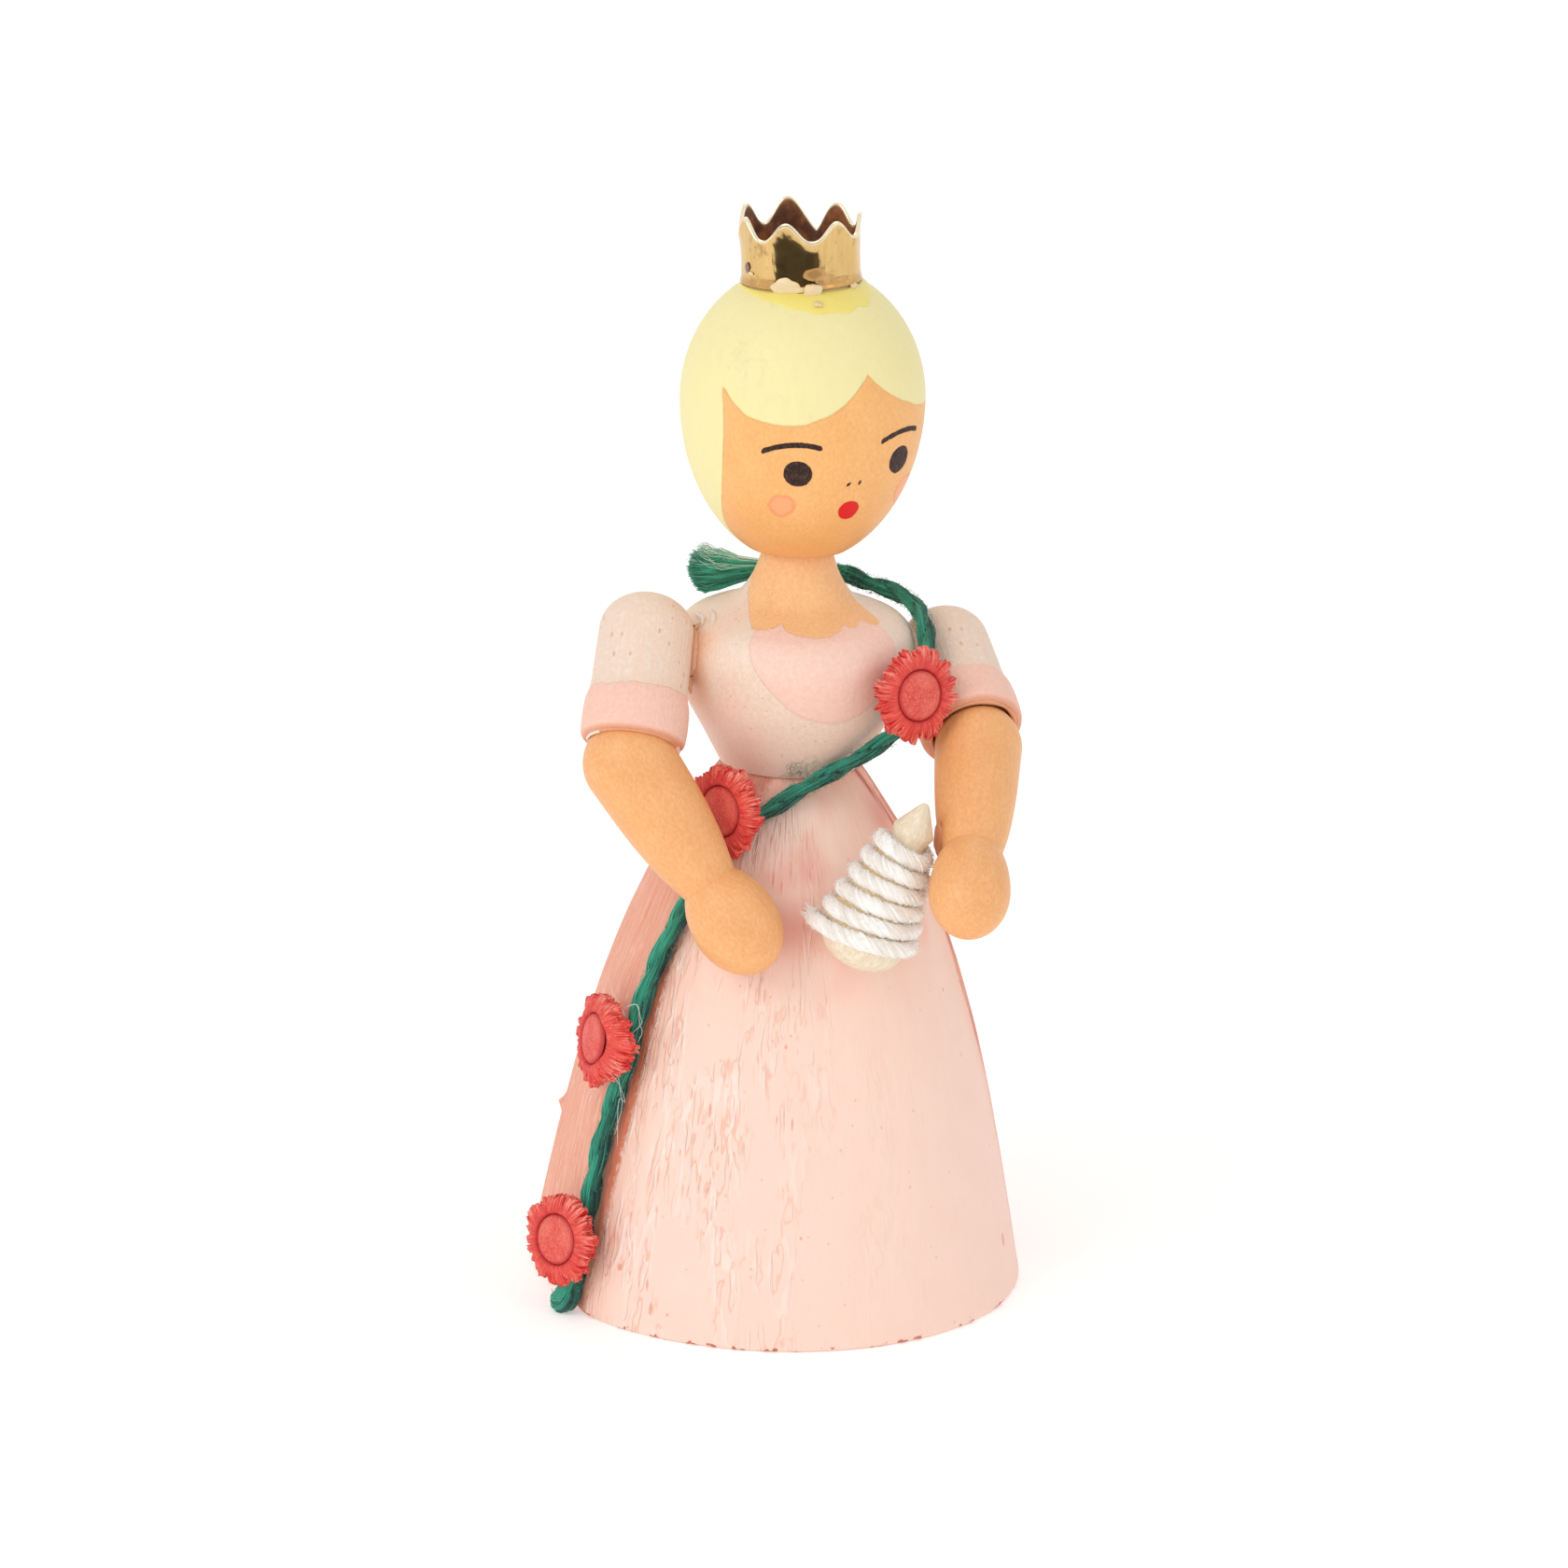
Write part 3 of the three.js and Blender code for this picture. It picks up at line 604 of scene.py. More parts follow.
# Painted edge: from how far a place is inside a painted shape in mm, the paint's cover and its edge's line
painted_edge, w, given, made = new_effect(
    "painted edge", {"Place": None, "Inside": 0.0, "Softness": 0.04, "Wobble": 0.05}, ["Cover", "Line"]
)
shake = w.minus(w.cloud(given["Place"], 2.2, 3.0), 0.5)
inside = w.times(shake, given["Wobble"], plus=given["Inside"])
behind = w.times(given["Softness"], -1.0)
w.plug(made["Cover"], w.spread(inside, behind, given["Softness"]))
far = w.times(given["Softness"], 3.0)
w.plug(made["Line"], w.spread(w.maths("ABSOLUTE", inside), far, 0.0))

# Skin stain: warm wood that shows a fine mottling, for the head, the neck and the arms
skin_stain, w, given, made = new_effect("skin stain", {"Place": None}, ["Mottle", "Height"])
mottle = w.cloud(w.scaled(given["Place"], 4.5, 3.0), 1.0, 5.0, 0.65)
large = w.cloud(given["Place"], 0.35, 2.0)
w.plug(made["Mottle"], w.times(mottle, 0.75, plus=w.times(large, 0.25)))
w.plug(made["Height"], w.cloud(w.scaled(given["Place"], 7.0, 5.0), 1.0, 3.0, 0.6))

# Finish of the head: skin stain under hair paint, with painted features
FACE_REACH = 0.15  # mm round the head to a degree, at the features
FACE_MIDDLE = 4.5
PARTING = 6.5
SCUFFS_AT = (-7.1, -4.3, 70.6)  # on the hair above her right temple


def head_finish():
    material, w, place = lathe_finish("painted head")
    ring = w.ring(place)
    azimuth = ring["Azimuth"]
    height = ring["Height"]

    def away(at):
        return w.times(w.minus(azimuth, at), FACE_REACH)

    def oval(at, level, half_width, half_height, lean=0.0):
        """How far inside an oval a place is, in mm."""
        across = away(at)
        upward = w.minus(height, level)
        cosine = math.cos(math.radians(lean))
        sine = math.sin(math.radians(lean))
        long = w.times(across, cosine, plus=w.times(upward, sine))
        short = w.times(upward, cosine, plus=w.times(across, -sine))
        first = w.maths("POWER", w.maths("DIVIDE", long, half_width), 2.0)
        second = w.maths("POWER", w.maths("DIVIDE", short, half_height), 2.0)
        out = w.maths("SQRT", w.plus(first, second))
        return w.times(w.minus(1.0, out), min(half_width, half_height))

    def brow(at, level, half_width, tilt, droop, half_thickness):
        """How far inside a bowed stroke a place is, in mm."""
        off = w.minus(azimuth, at)
        bow = w.times(w.times(off, off), -droop)
        line = w.plus(w.times(off, tilt, plus=bow), level)
        beyond = w.larger(w.minus(w.maths("ABSOLUTE", away(at)), half_width), 0.0)
        apart = w.minus(height, line)
        return w.minus(half_thickness, w.hypot(apart, beyond))

    # The face is bounded by the parted fringe above and by the hair at each side
    fringe = w.curve(
        azimuth,
        [
            (-90, 69.0), (-66.6, 68.17), (-58.1, 67.06), (-48.6, 66.39), (-32.6, 66.15), (-19.8, 66.6),
            (-10.2, 67.3), (-3.1, 68.15), (2.8, 69.0), (PARTING, 69.6), (12.3, 68.73), (20.6, 67.9),
            (32.7, 67.1), (45, 66.55), (57, 66.4), (68, 66.95), (78, 68.2), (100, 69.2),
        ],
        -90, 100, 66, 70, corners=(0, 1, 9, 16, 17),
    )
    side = w.curve(
        height,
        [
            (54, 98), (57.1, 91), (59.2, 81.5), (61.1, 75.2), (63.4, 71.6), (65.8, 70.4), (68.2, 72.6),
            (70, 75),
        ],
        54, 70, 60, 100,
    )
    middle = w.apart(azimuth, FACE_MIDDLE)
    under_fringe = w.times(w.minus(fringe, height), 0.8)
    within_sides = w.times(w.minus(side, middle), FACE_REACH)
    inside = w.maths("MINIMUM", under_fringe, within_sides)
    face = w.edge(place, inside, 0.045, 0.1)

    stain = w.use(skin_stain, {"Place": place})
    skin = w.two_tone(stain["Mottle"], 0.33, 0.7, (238, 174, 106), (248, 190, 124))
    low = w.spread(height, 61.0, 55.5)
    skin = w.coat(skin, low, 0.35, (226, 150, 84))
    streaks = w.streaks(place, 2.4, 0.35)
    hair = w.coat(srgb(241, 230, 171), streaks, 0.5, (237, 225, 160))
    smudge = w.spread(w.cloud(place, 0.55, 4.0, 0.6), 0.56, 0.75)
    hair = w.coat(hair, smudge, 0.22, (214, 206, 160))
    off = w.put("VectorMath", {0: place, 1: SCUFFS_AT}, operation="DISTANCE").outputs["Value"]
    scuffs = w.spread(w.cloud(w.scaled(place, 1.7, 1.1), 1.0, 5.0, 0.7), 0.5, 0.66)
    scuffs = w.times(scuffs, w.spread(off, 3.4, 0.8))
    hair = w.coat(hair, scuffs, 0.34, (208, 202, 152))
    colour = w.tint(face["Cover"], hair, skin)
    # A darker line along the hair paint's edge: partly the thin paint, partly painted shade at its step.
    colour = w.coat(colour, face["Line"], 0.35, (224, 160, 84))

    cheeks = w.larger(oval(-36.3, 60.0, 1.0, 0.82, 12), oval(45.5, 60.3, 1.5, 1.0, -12))
    blush = w.edge(place, cheeks, 0.07, 0.5)
    colour = w.coat(colour, blush["Cover"], 0.85, (248, 168, 122))
    colour = w.coat(colour, blush["Line"], 0.55, (236, 140, 92))
    lips = w.edge(place, oval(1.5, 59.6, 0.95, 0.76, -2), 0.05, 0.12)
    colour = w.tint(lips["Cover"], colour, srgb(222, 22, 20))
    pencil = w.cloud(w.scaled(place, 9.0, 4.0), 1.0, 4.0, 0.7)
    eyes = w.larger(oval(-28.2, 62.6, 1.05, 0.98, -8), oval(28.7, 63.0, 1.16, 1.03, -14))
    nostrils = w.larger(oval(-1.8, 61.74, 0.22, 0.12, 40), oval(4.2, 61.78, 0.12, 0.19, -20))
    right_brow = brow(-31.4, 64.76, 1.95, 0.0155, 0.0021, 0.21)
    left_brow = brow(27.8, 65.18, 1.95, 0.0075, 0.0019, 0.2)
    drawn = w.larger(w.larger(eyes, w.larger(right_brow, left_brow)), nostrils)
    ink = w.edge(place, drawn, 0.035, 0.14)
    dark = w.two_tone(pencil, 0.46, 0.74, (46, 25, 19), (104, 74, 62))
    colour = w.tint(ink["Cover"], colour, dark)

    brushed = w.times(streaks, 0.5, plus=w.cloud(place, 1.2, 3.0))
    relief = w.tint(face["Cover"], brushed, stain["Height"])
    paint_step = w.minus(1.0, face["Cover"])
    marks = w.plus(lips["Cover"], w.times(blush["Cover"], 0.5))
    normal = w.bump(w.plus(paint_step, marks), 0.035, w.bump(relief, 0.02))
    roughness = w.tint(face["Cover"], grey(0.46), grey(0.4))
    roughness = w.tint(ink["Cover"], roughness, grey(0.62))
    w.shade(colour, roughness, normal, Specular_IOR_Level=0.3)
    return material


def skin_finish():
    material, w, place = lathe_finish("stained arms")
    stain = w.use(skin_stain, {"Place": place})
    streaks = w.streaks(place, 3.0, 0.25)
    colour = w.two_tone(stain["Mottle"], 0.35, 0.68, (236, 167, 104), (246, 186, 125))
    colour = w.coat(colour, streaks, 0.14, (224, 150, 90))
    height = w.times(streaks, 0.4, plus=stain["Height"])
    w.shade(colour, 0.42, w.bump(height, 0.02))
    return material


# Marks on the skirt: azimuth, height, half width and half height in mm
SKIRT_MARKS = [
    (-44.0, 14.6, 0.04, 0.5), (47.6, 4.28, 0.28, 0.5), (37.7, 23.7, 0.1, 0.12), (39.9, 18.8, 0.08, 0.16),
    (-25.5, 21.6, 0.09, 0.14), (-66.8, 4.4, 0.2, 0.26), (-40.0, 13.4, 0.04, 0.45), (-23.2, 16.3, 0.07, 0.42),
    (-27.5, 16.6, 0.04, 0.3), (-52.0, 1.9, 0.1, 0.12), (-20.5, 8.2, 0.09, 0.09), (-33.2, 32.8, 0.07, 0.5),
    (-29.2, 32.2, 0.05, 0.35), (-25.2, 33.2, 0.05, 0.45), (-6.0, 31.8, 0.08, 0.3), (-4.8, 31.0, 0.05, 0.35),
    (-19.6, 29.8, 0.05, 0.3), (-36.4, 35.2, 0.06, 0.3),
]
# Rosy patches on the skirt's pale paint: azimuth, height, half width and half height in mm, and share
SKIRT_ROSY = [
    (-23.0, 29.6, 3.6, 3.4, 0.6), (-16.0, 33.4, 2.0, 2.4, 0.35), (40.0, 35.6, 2.2, 2.6, 0.5),
    (-30.0, 33.0, 2.0, 2.0, 0.3),
]
MIDDLE_RADIUS = 14.0


# Finish of the skirt: thick pale paint in front, and thin paint over plain grain at the sides and back
def skirt_finish():
    material, w, place = lathe_finish("painted skirt")
    drum = w.use(on_drum, {"Place": place, "Radius": MIDDLE_RADIUS})["Place"]
    ring = w.ring(place)
    azimuth = ring["Azimuth"]
    height = ring["Height"]
    left = w.curve(
        height,
        [
            (0, 75), (4.6, 74), (8.1, 72.6), (11.6, 71.6), (15, 70.3), (17.8, 69.4), (21.8, 69),
            (26.4, 68), (29.5, 66.5), (33.5, 62), (36, 55), (37.5, 46), (39.1, 38),
        ],
        0, 39.1, 30, 90,
    )
    right = w.curve(
        height,
        [(0, 76), (5, 72), (12, 65.5), (17.3, 60.5), (24.3, 55), (29, 58), (33, 60), (36, 58), (39.1, 62)],
        0, 39.1, 30, 90,
    )
    reach = w.times(ring["Radius"], math.pi / 180)
    from_left = w.times(w.plus(azimuth, left), reach, plus=0.3)
    from_right = w.times(w.minus(right, azimuth), reach)
    inside = w.maths("MINIMUM", from_left, from_right)
    front = w.edge(place, inside, 0.3, 1.2)

    def spot(at, level, half_width, half_height):
        """How far inside a mark a place is, in mm."""
        across = w.times(w.minus(azimuth, at), reach)
        first = w.maths("POWER", w.maths("DIVIDE", across, half_width), 2.0)
        second = w.maths("DIVIDE", w.minus(height, level), half_height)
        out = w.maths("SQRT", w.times(second, second, plus=first))
        return w.times(w.minus(1.0, out), half_width)

    fine = w.streaks(drum, 7.0, 0.26)
    broad = w.streaks(drum, 1.2, 0.12)
    side = w.tint(fine, srgb(232, 143, 114), srgb(249, 193, 170))
    side = w.coat(side, broad, 0.4, (248, 188, 164))
    worn = w.product(
        w.spread(azimuth, 46.0, 58.0), w.spread(azimuth, 96.0, 70.0), w.spread(height, 14.0, 33.0)
    )
    scratched = w.streaks(drum, 2.6, 0.22)
    side = w.tint(w.times(worn, w.spread(scratched, 0.5, 0.9)), side, srgb(212, 122, 100))
    # The side paint beside the yarn turns orange: partly the paint's own colour at its edge, partly a
    # painted shadow of the yarn.
    yarn_shadow_and_edge = w.product(
        w.spread(from_left, -1.3, -0.5), w.spread(height, 35.5, 32.0, 0.0, 0.9),
        w.spread(azimuth, -30.0, -45.0), w.spread(height, 2.0, 12.0, 0.25, 1.0),
    )
    side = w.tint(yarn_shadow_and_edge, side, srgb(226, 120, 86))
    dashes = w.specks(drum, 0.2, 0.2, 6.0)
    side = w.coat(side, dashes, 0.5, (254, 226, 210))
    pale = w.tint(w.cloud(drum, 0.35, 3.0), srgb(246, 210, 194), srgb(250, 217, 202))
    # The pale paint is lighter towards the waist: painted light where the bodice and arms shade it.
    pale = w.coat(pale, w.spread(height, 25.0, 37.5), 0.8, (255, 226, 210))
    rosy = w.spread(w.cloud(place, 0.17, 2.0), 0.46, 0.66)
    rosy = w.times(rosy, w.spread(height, 22.0, 30.0))
    pale = w.coat(pale, rosy, 0.45, (246, 174, 154))
    blotch = w.times(w.spread(spot(-70.0, 6.4, 0.3, 0.9), -0.1, 0.2), 0.4)
    edge = w.spread(inside, 3.2, 0.2)
    pale = w.coat(pale, edge, 0.55, (247, 190, 166))
    pale = w.tint(blotch, pale, srgb(238, 140, 118))
    for at, level, half_width, half_height, share in SKIRT_ROSY:
        rosy_patch = w.spread(spot(at, level, half_width, half_height), 0.0, half_width)
        pale = w.coat(pale, rosy_patch, share, (226, 138, 118))
    colour = w.tint(front["Cover"], side, pale)
    rim_at = w.curve(
        height, [(0, 63), (25, 61), (32, 57), (35.2, 52.5), (37, 49), (39.1, 43)], 0, 39.1, 40, 70,
    )
    rim = w.spread(w.apart(azimuth, rim_at), 7.0, 1.5)
    rim = w.times(rim, w.spread(height, 8.0, 34.0, 0.25, 1.0))
    colour = w.tint(w.times(rim, w.spread(scratched, 0.35, 0.6)), colour, srgb(204, 98, 82))

    # Long wavy ridges in the thick paint, in patches, most on her right and few across the front
    sway = w.cloud(w.scaled(drum, 0.5, 0.3), 1.0, 2.0)
    swayed = w.put("CombineXYZ", {"X": w.times(sway, 1.1), "Y": w.times(sway, 1.1), "Z": 0.0}).outputs[0]
    shifted = w.put("VectorMath", {0: drum, 1: swayed}, operation="ADD").outputs[0]
    ridged = w.spread(azimuth, 16.0, -52.0, 0.1, 1.0)
    patchy = w.spread(w.cloud(w.scaled(drum, 0.34, 0.11), 1.0, 3.0), 0.44, 0.6)
    covered = w.product(ridged, patchy, front["Cover"])
    folds = w.cloud(w.scaled(shifted, 1.15, 0.15), 1.0, 1.5, 0.45)
    crest = w.spread(w.apart(folds, 0.5), 0.075, 0.0)
    second = w.cloud(w.scaled(shifted, 1.9, 0.26), 1.0, 1.5, 0.45)
    furrow = w.spread(w.apart(second, 0.55), 0.05, 0.0)
    crest = w.times(crest, covered)
    furrow = w.times(furrow, covered)
    # Painted shade in the furrows and a painted highlight on the crests, beside their bump.
    colour = w.coat(colour, furrow, 0.65, (236, 172, 142))
    colour = w.coat(colour, crest, 0.5, (255, 236, 225))
    slits = w.specks(shifted, 0.36, 0.09, 5.5)
    slits = w.times(slits, covered)
    colour = w.coat(colour, slits, 0.7, (226, 150, 120))
    pits = w.specks(drum, 0.3, 0.016, 1.3)
    colour = w.coat(colour, pits, 0.45, (232, 156, 118))
    marks = spot(*SKIRT_MARKS[0])
    for mark in SKIRT_MARKS[1:]:
        marks = w.larger(marks, spot(*mark))
    chips = w.edge(place, marks, 0.05, 0.12)["Cover"]
    colour = w.coat(colour, chips, 0.6, (228, 128, 96))

    # Paint rubbed off along the hem
    rubbed = w.spread(w.cloud(w.scaled(place, 0.9, 0.9), 1.0, 4.0), 0.52, 0.62)
    rub_height = w.times(rubbed, 0.34, plus=0.03)
    bare = w.spread(w.minus(rub_height, height), -0.05, 0.08)
    colour = w.tint(bare, colour, srgb(198, 112, 90))

    brush = w.cloud(w.scaled(drum, 3.0, 0.4), 1.0, 5.0, 0.62)
    lumps = w.cloud(w.scaled(drum, 0.8, 0.22), 1.0, 3.0)
    thick = w.times(brush, 0.3, plus=w.times(lumps, 0.8))
    thick = w.times(crest, 0.6, plus=thick)
    for hollow, depth in ((furrow, 0.3), (slits, 0.3), (pits, 0.2), (chips, 0.2)):
        thick = w.times(hollow, -depth, plus=thick)
    thin = w.times(fine, 0.4, plus=w.times(brush, 0.3))
    height_map = w.tint(front["Cover"], thin, thick)
    normal = w.bump(front["Cover"], 0.04, w.bump(height_map, 0.1))
    roughness = w.tint(front["Cover"], grey(0.75), grey(0.6))
    w.shade(colour, roughness, normal)
    return material


# Finish of the torso: bare skin at the neck, a pale bodice and a pink bib
def torso_finish():
    material, w, place = lathe_finish("painted bodice")
    ring = w.ring(place)
    azimuth = ring["Azimuth"]
    height = ring["Height"]
    neckline = w.curve(
        azimuth,
        [
            (-180, 53.4), (-124, 53.0), (-86.6, 51.75), (-69, 51.1), (-53, 50.38), (-44, 50.5), (-37, 50.82),
            (-30, 50.42), (-22, 50.28), (-13, 50.2), (-1, 50.36), (9, 50.68), (14, 50.5), (21, 50.6),
            (27, 50.72), (33, 50.35), (47, 50.94), (56, 51.6), (74, 52.6), (120, 53.2), (180, 53.4),
        ],
        -180, 180, 50, 54, corners=(3, 4, 6, 11, 14),
    )
    bib_foot = w.curve(
        azimuth,
        [
            (-60, 54), (-52.5, 50.9), (-50.3, 49.6), (-47.2, 48.6), (-42.4, 47.5), (-34.7, 46.1),
            (-26.4, 45.0), (-17.7, 44.4), (-8.4, 44.1), (1.7, 44.1), (12.3, 44.7), (18.5, 45.4),
            (25, 46.7), (29.5, 48.3), (32, 49.7), (34, 51), (40, 54),
        ],
        -60, 40, 44, 54,
    )
    bare = w.edge(place, w.minus(height, neckline), 0.05, 0.12)
    over_bib = w.times(w.minus(height, bib_foot), 0.7)
    bib = w.edge(place, over_bib, 0.06, 0.14)

    mottle = w.cloud(w.scaled(place, 3.5, 3.0), 1.0, 5.0, 0.68)
    cream = w.two_tone(mottle, 0.38, 0.66, (237, 211, 192), (245, 224, 208))
    top = w.spread(height, 48.0, 51.0)
    cream = w.coat(cream, top, 0.4, (236, 219, 200))
    low = w.spread(height, 46.0, 39.4)
    cream = w.coat(cream, low, 0.5, (249, 209, 191))
    fades = w.times(w.spread(azimuth, -30.0, -85.0), w.spread(azimuth, -165.0, -115.0))
    blush = w.times(w.spread(w.cloud(place, 0.3, 2.0), 0.35, 0.65), fades)
    cream = w.coat(cream, blush, 0.35, (243, 190, 158))
    # Painted shade on the bodice, in the crevice beside her right sleeve's seam.
    seam_shade = w.product(
        w.spread(azimuth, -66.0, -80.0), w.spread(azimuth, -118.0, -100.0), w.spread(height, 50.4, 49.0),
        w.spread(height, 43.0, 46.0),
    )
    cream = w.coat(cream, seam_shade, 0.6, (236, 180, 140))
    tan = w.specks(place, 0.38, 0.12, 1.3)
    cream = w.coat(cream, tan, 0.4, (206, 162, 130))
    pink = w.two_tone(mottle, 0.35, 0.7, (245, 202, 185), (249, 214, 200))
    colour = w.tint(bib["Cover"], cream, pink)
    colour = w.coat(colour, bib["Line"], 0.3, (232, 176, 160))
    stain = w.use(skin_stain, {"Place": place})
    skin = w.two_tone(stain["Mottle"], 0.35, 0.68, (243, 184, 126), (251, 202, 148))
    colour = w.tint(bare["Cover"], colour, skin)
    streaks = w.streaks(place, 3.0, 0.3)
    covers = w.minus(1.0, bare["Cover"])
    thickness = w.times(bib["Cover"], 0.5, plus=covers)
    relief = w.times(streaks, 0.35, plus=mottle)
    normal = w.bump(thickness, 0.05, w.bump(relief, 0.045))
    w.shade(colour, 0.55, normal)
    return material


def sleeve_finish():
    material, w, place = lathe_finish("painted sleeves")
    height = w.put("SeparateXYZ", {"Vector": place}).outputs["Z"]
    wave = w.times(w.minus(w.cloud(place, 0.3, 2.0), 0.5), 1.1)
    inside = w.minus(w.plus(height, wave), CUFF_PAINT)
    band = w.edge(place, inside, 0.06, 0.2)
    mottle = w.cloud(w.scaled(place, 3.5, 3.0), 1.0, 5.0, 0.68)
    streaks = w.streaks(place, 3.4, 0.25)
    cream = w.two_tone(mottle, 0.38, 0.66, (234, 210, 192), (241, 221, 205))
    cream = w.coat(cream, streaks, 0.45, (238, 202, 176))
    tan = w.specks(place, 0.42, 0.1, 1.8)
    cream = w.coat(cream, tan, 0.7, (212, 160, 124))
    pink = w.two_tone(mottle, 0.35, 0.7, (243, 194, 174), (247, 205, 187))
    colour = w.tint(band["Cover"], cream, pink)
    rim = w.spread(height, SLEEVE_LENGTH - 0.4, SLEEVE_LENGTH - 0.02)
    colour = w.coat(colour, rim, 0.75, (226, 150, 110))
    relief = w.times(streaks, 0.5, plus=w.minus(mottle, w.times(tan, 0.5)))
    normal = w.bump(band["Cover"], 0.04, w.bump(relief, 0.05))
    w.shade(colour, 0.56, normal)
    return material


def crown_finish():
    material, w, place = lathe_finish("crown brass")
    ring = w.ring(place)
    outside = w.spread(ring["Radius"], CROWN_RADIUS - 0.2, CROWN_RADIUS - 0.1)
    rim = w.spread(w.put("Attribute", attribute_name="rim").outputs["Fac"], 0.93, 0.985)
    outside = w.larger(outside, rim)
    brushed = w.cloud(w.scaled(place, 2.6, 0.35), 1.0, 4.0)
    tarnish = w.spread(w.cloud(w.scaled(place, 1.1, 0.9), 1.0, 5.0, 0.65), 0.55, 0.72)
    brass = w.tint(brushed, srgb(206, 166, 100), srgb(232, 200, 138))
    brass = w.coat(brass, tarnish, 0.5, (112, 78, 40))
    stained = w.spread(w.plus(ring["Height"], w.cloud(place, 0.7, 3.0)), 1.35, 0.75)
    brass = w.coat(brass, stained, 0.55, (196, 138, 78))
    # A painted highlight along the top edge of the rim.
    brass = w.coat(brass, rim, 0.7, (244, 236, 214))
    inner = w.two_tone(w.cloud(place, 0.9, 4.0), 0.35, 0.7, (84, 42, 18), (150, 90, 46))
    colour = w.tint(outside, inner, brass)
    metal = w.times(outside, 0.95)
    roughness = w.tint(outside, grey(0.5), grey(0.13))
    dents = w.cloud(w.scaled(place, 0.8, 0.5), 1.0, 2.0)
    relief = w.times(brushed, 0.1, plus=dents)
    w.shade(colour, roughness, w.bump(relief, 0.075), Metallic=metal)
    return material


def wood_finish(name, wound_from, wound_to):
    """Bare wood, darker where thread is wound on it, as painted shade under the thread."""
    material, w, place = lathe_finish(name)
    streaks = w.streaks(place, 3.6, 0.3)
    height = w.put("SeparateXYZ", {"Vector": place}).outputs["Z"]
    turned_marks = w.cloud(w.put("CombineXYZ", {"Z": w.times(height, 5.0)}).outputs[0], 1.0, 2.0)
    colour = w.tint(streaks, srgb(228, 209, 178), srgb(243, 230, 206))
    pores = w.specks(place, 0.2, 0.15, 3.0)
    colour = w.coat(colour, pores, 0.3, (200, 170, 130))
    below = w.spread(height, wound_from, wound_from + 0.3)
    wound = w.times(below, w.spread(height, wound_to, wound_to - 0.3))
    colour = w.tint(wound, colour, srgb(222, 188, 140))
    relief = w.times(turned_marks, 0.6, plus=streaks)
    w.shade(colour, 0.58, w.bump(relief, 0.025))
    return material


def thread_finish(name, dark, light, fleck, softness):
    """Spun fibres, each strand of its own shade, and a little uneven along its length."""
    material, w, place = lathe_finish(name)
    # The shade value is each strand's own tone, and on the sash it also carries painted light and shade.
    shade = w.put("Attribute", attribute_name="shade").outputs["Fac"]
    patches = w.cloud(place, 0.8, 3.0, 0.6)
    fine = w.cloud(place, 7.0, 3.0, 0.7)
    mixed = w.times(shade, 0.65, plus=w.times(patches, 0.35))
    colour = w.two_tone(mixed, 0.2, 0.76, dark, light)
    colour = w.coat(colour, w.spread(fine, 0.6, 0.8), 0.45, fleck)
    w.shade(colour, 0.85, w.bump(fine, 0.03), Sheen_Weight=softness, Sheen_Roughness=0.5)
    return material


def petal_finish():
    material, w, place = lathe_finish("red petals")
    ring = w.ring(place)
    turns = w.times(ring["Azimuth"], 0.62)
    laid = w.put("CombineXYZ", {"X": turns, "Y": w.times(ring["Radius"], 0.8), "Z": ring["Height"]})
    shreds = w.cloud(laid.outputs[0], 1.0, 4.0, 0.7)
    colour = w.two_tone(shreds, 0.34, 0.66, (212, 32, 36), (252, 100, 84))
    worn = w.product(
        w.spread(shreds, 0.42, 0.62), w.spread(ring["Radius"], 2.3, 3.4),
        w.spread(w.cloud(place, 0.5, 2.0), 0.36, 0.58),
    )
    colour = w.coat(colour, worn, 0.85, (254, 178, 156))
    torn = w.specks(place, 0.22, 0.22, 1.0)
    colour = w.coat(colour, torn, 0.45, (255, 176, 156))
    # Petals are darker near the button: painted shade round where the button sits in the hub.
    shade_by_button = w.spread(ring["Radius"], 2.3, BUTTON_RADIUS)
    colour = w.coat(colour, shade_by_button, 0.5, (200, 30, 38))
    w.shade(colour, 0.62, w.bump(shreds, 0.09))
    return material


def button_finish():
    material, w, place = lathe_finish("red buttons")
    ring = w.ring(place)
    pith = w.cloud(w.scaled(place, 5.5, 2.0), 1.0, 5.0, 0.75)
    large = w.cloud(place, 0.8, 3.0)
    colour = w.two_tone(pith, 0.36, 0.68, (214, 56, 54), (242, 112, 94))
    colour = w.coat(colour, w.spread(large, 0.42, 0.62), 0.45, (238, 124, 104))
    rough = w.specks(place, 0.3, 0.3, 1.0)
    colour = w.coat(colour, rough, 0.4, (248, 158, 138))
    # Darker towards the button's edge: painted shade where it sits down in the hub.
    rim = w.spread(ring["Radius"], 1.45, 1.84)
    colour = w.coat(colour, rim, 0.7, (184, 24, 36))
    w.shade(colour, 0.6, w.bump(pith, 0.06))
    return material


def glue_finish(name, colour, roughness=0.2, alpha=1.0):
    material, w, place = lathe_finish(name)
    lumps = w.cloud(place, 1.4, 3.0)
    varied = w.coat(srgb(*colour), lumps, 0.2, (250, 244, 216))
    w.shade(varied, roughness, w.bump(lumps, 0.05), Alpha=alpha)
    return material


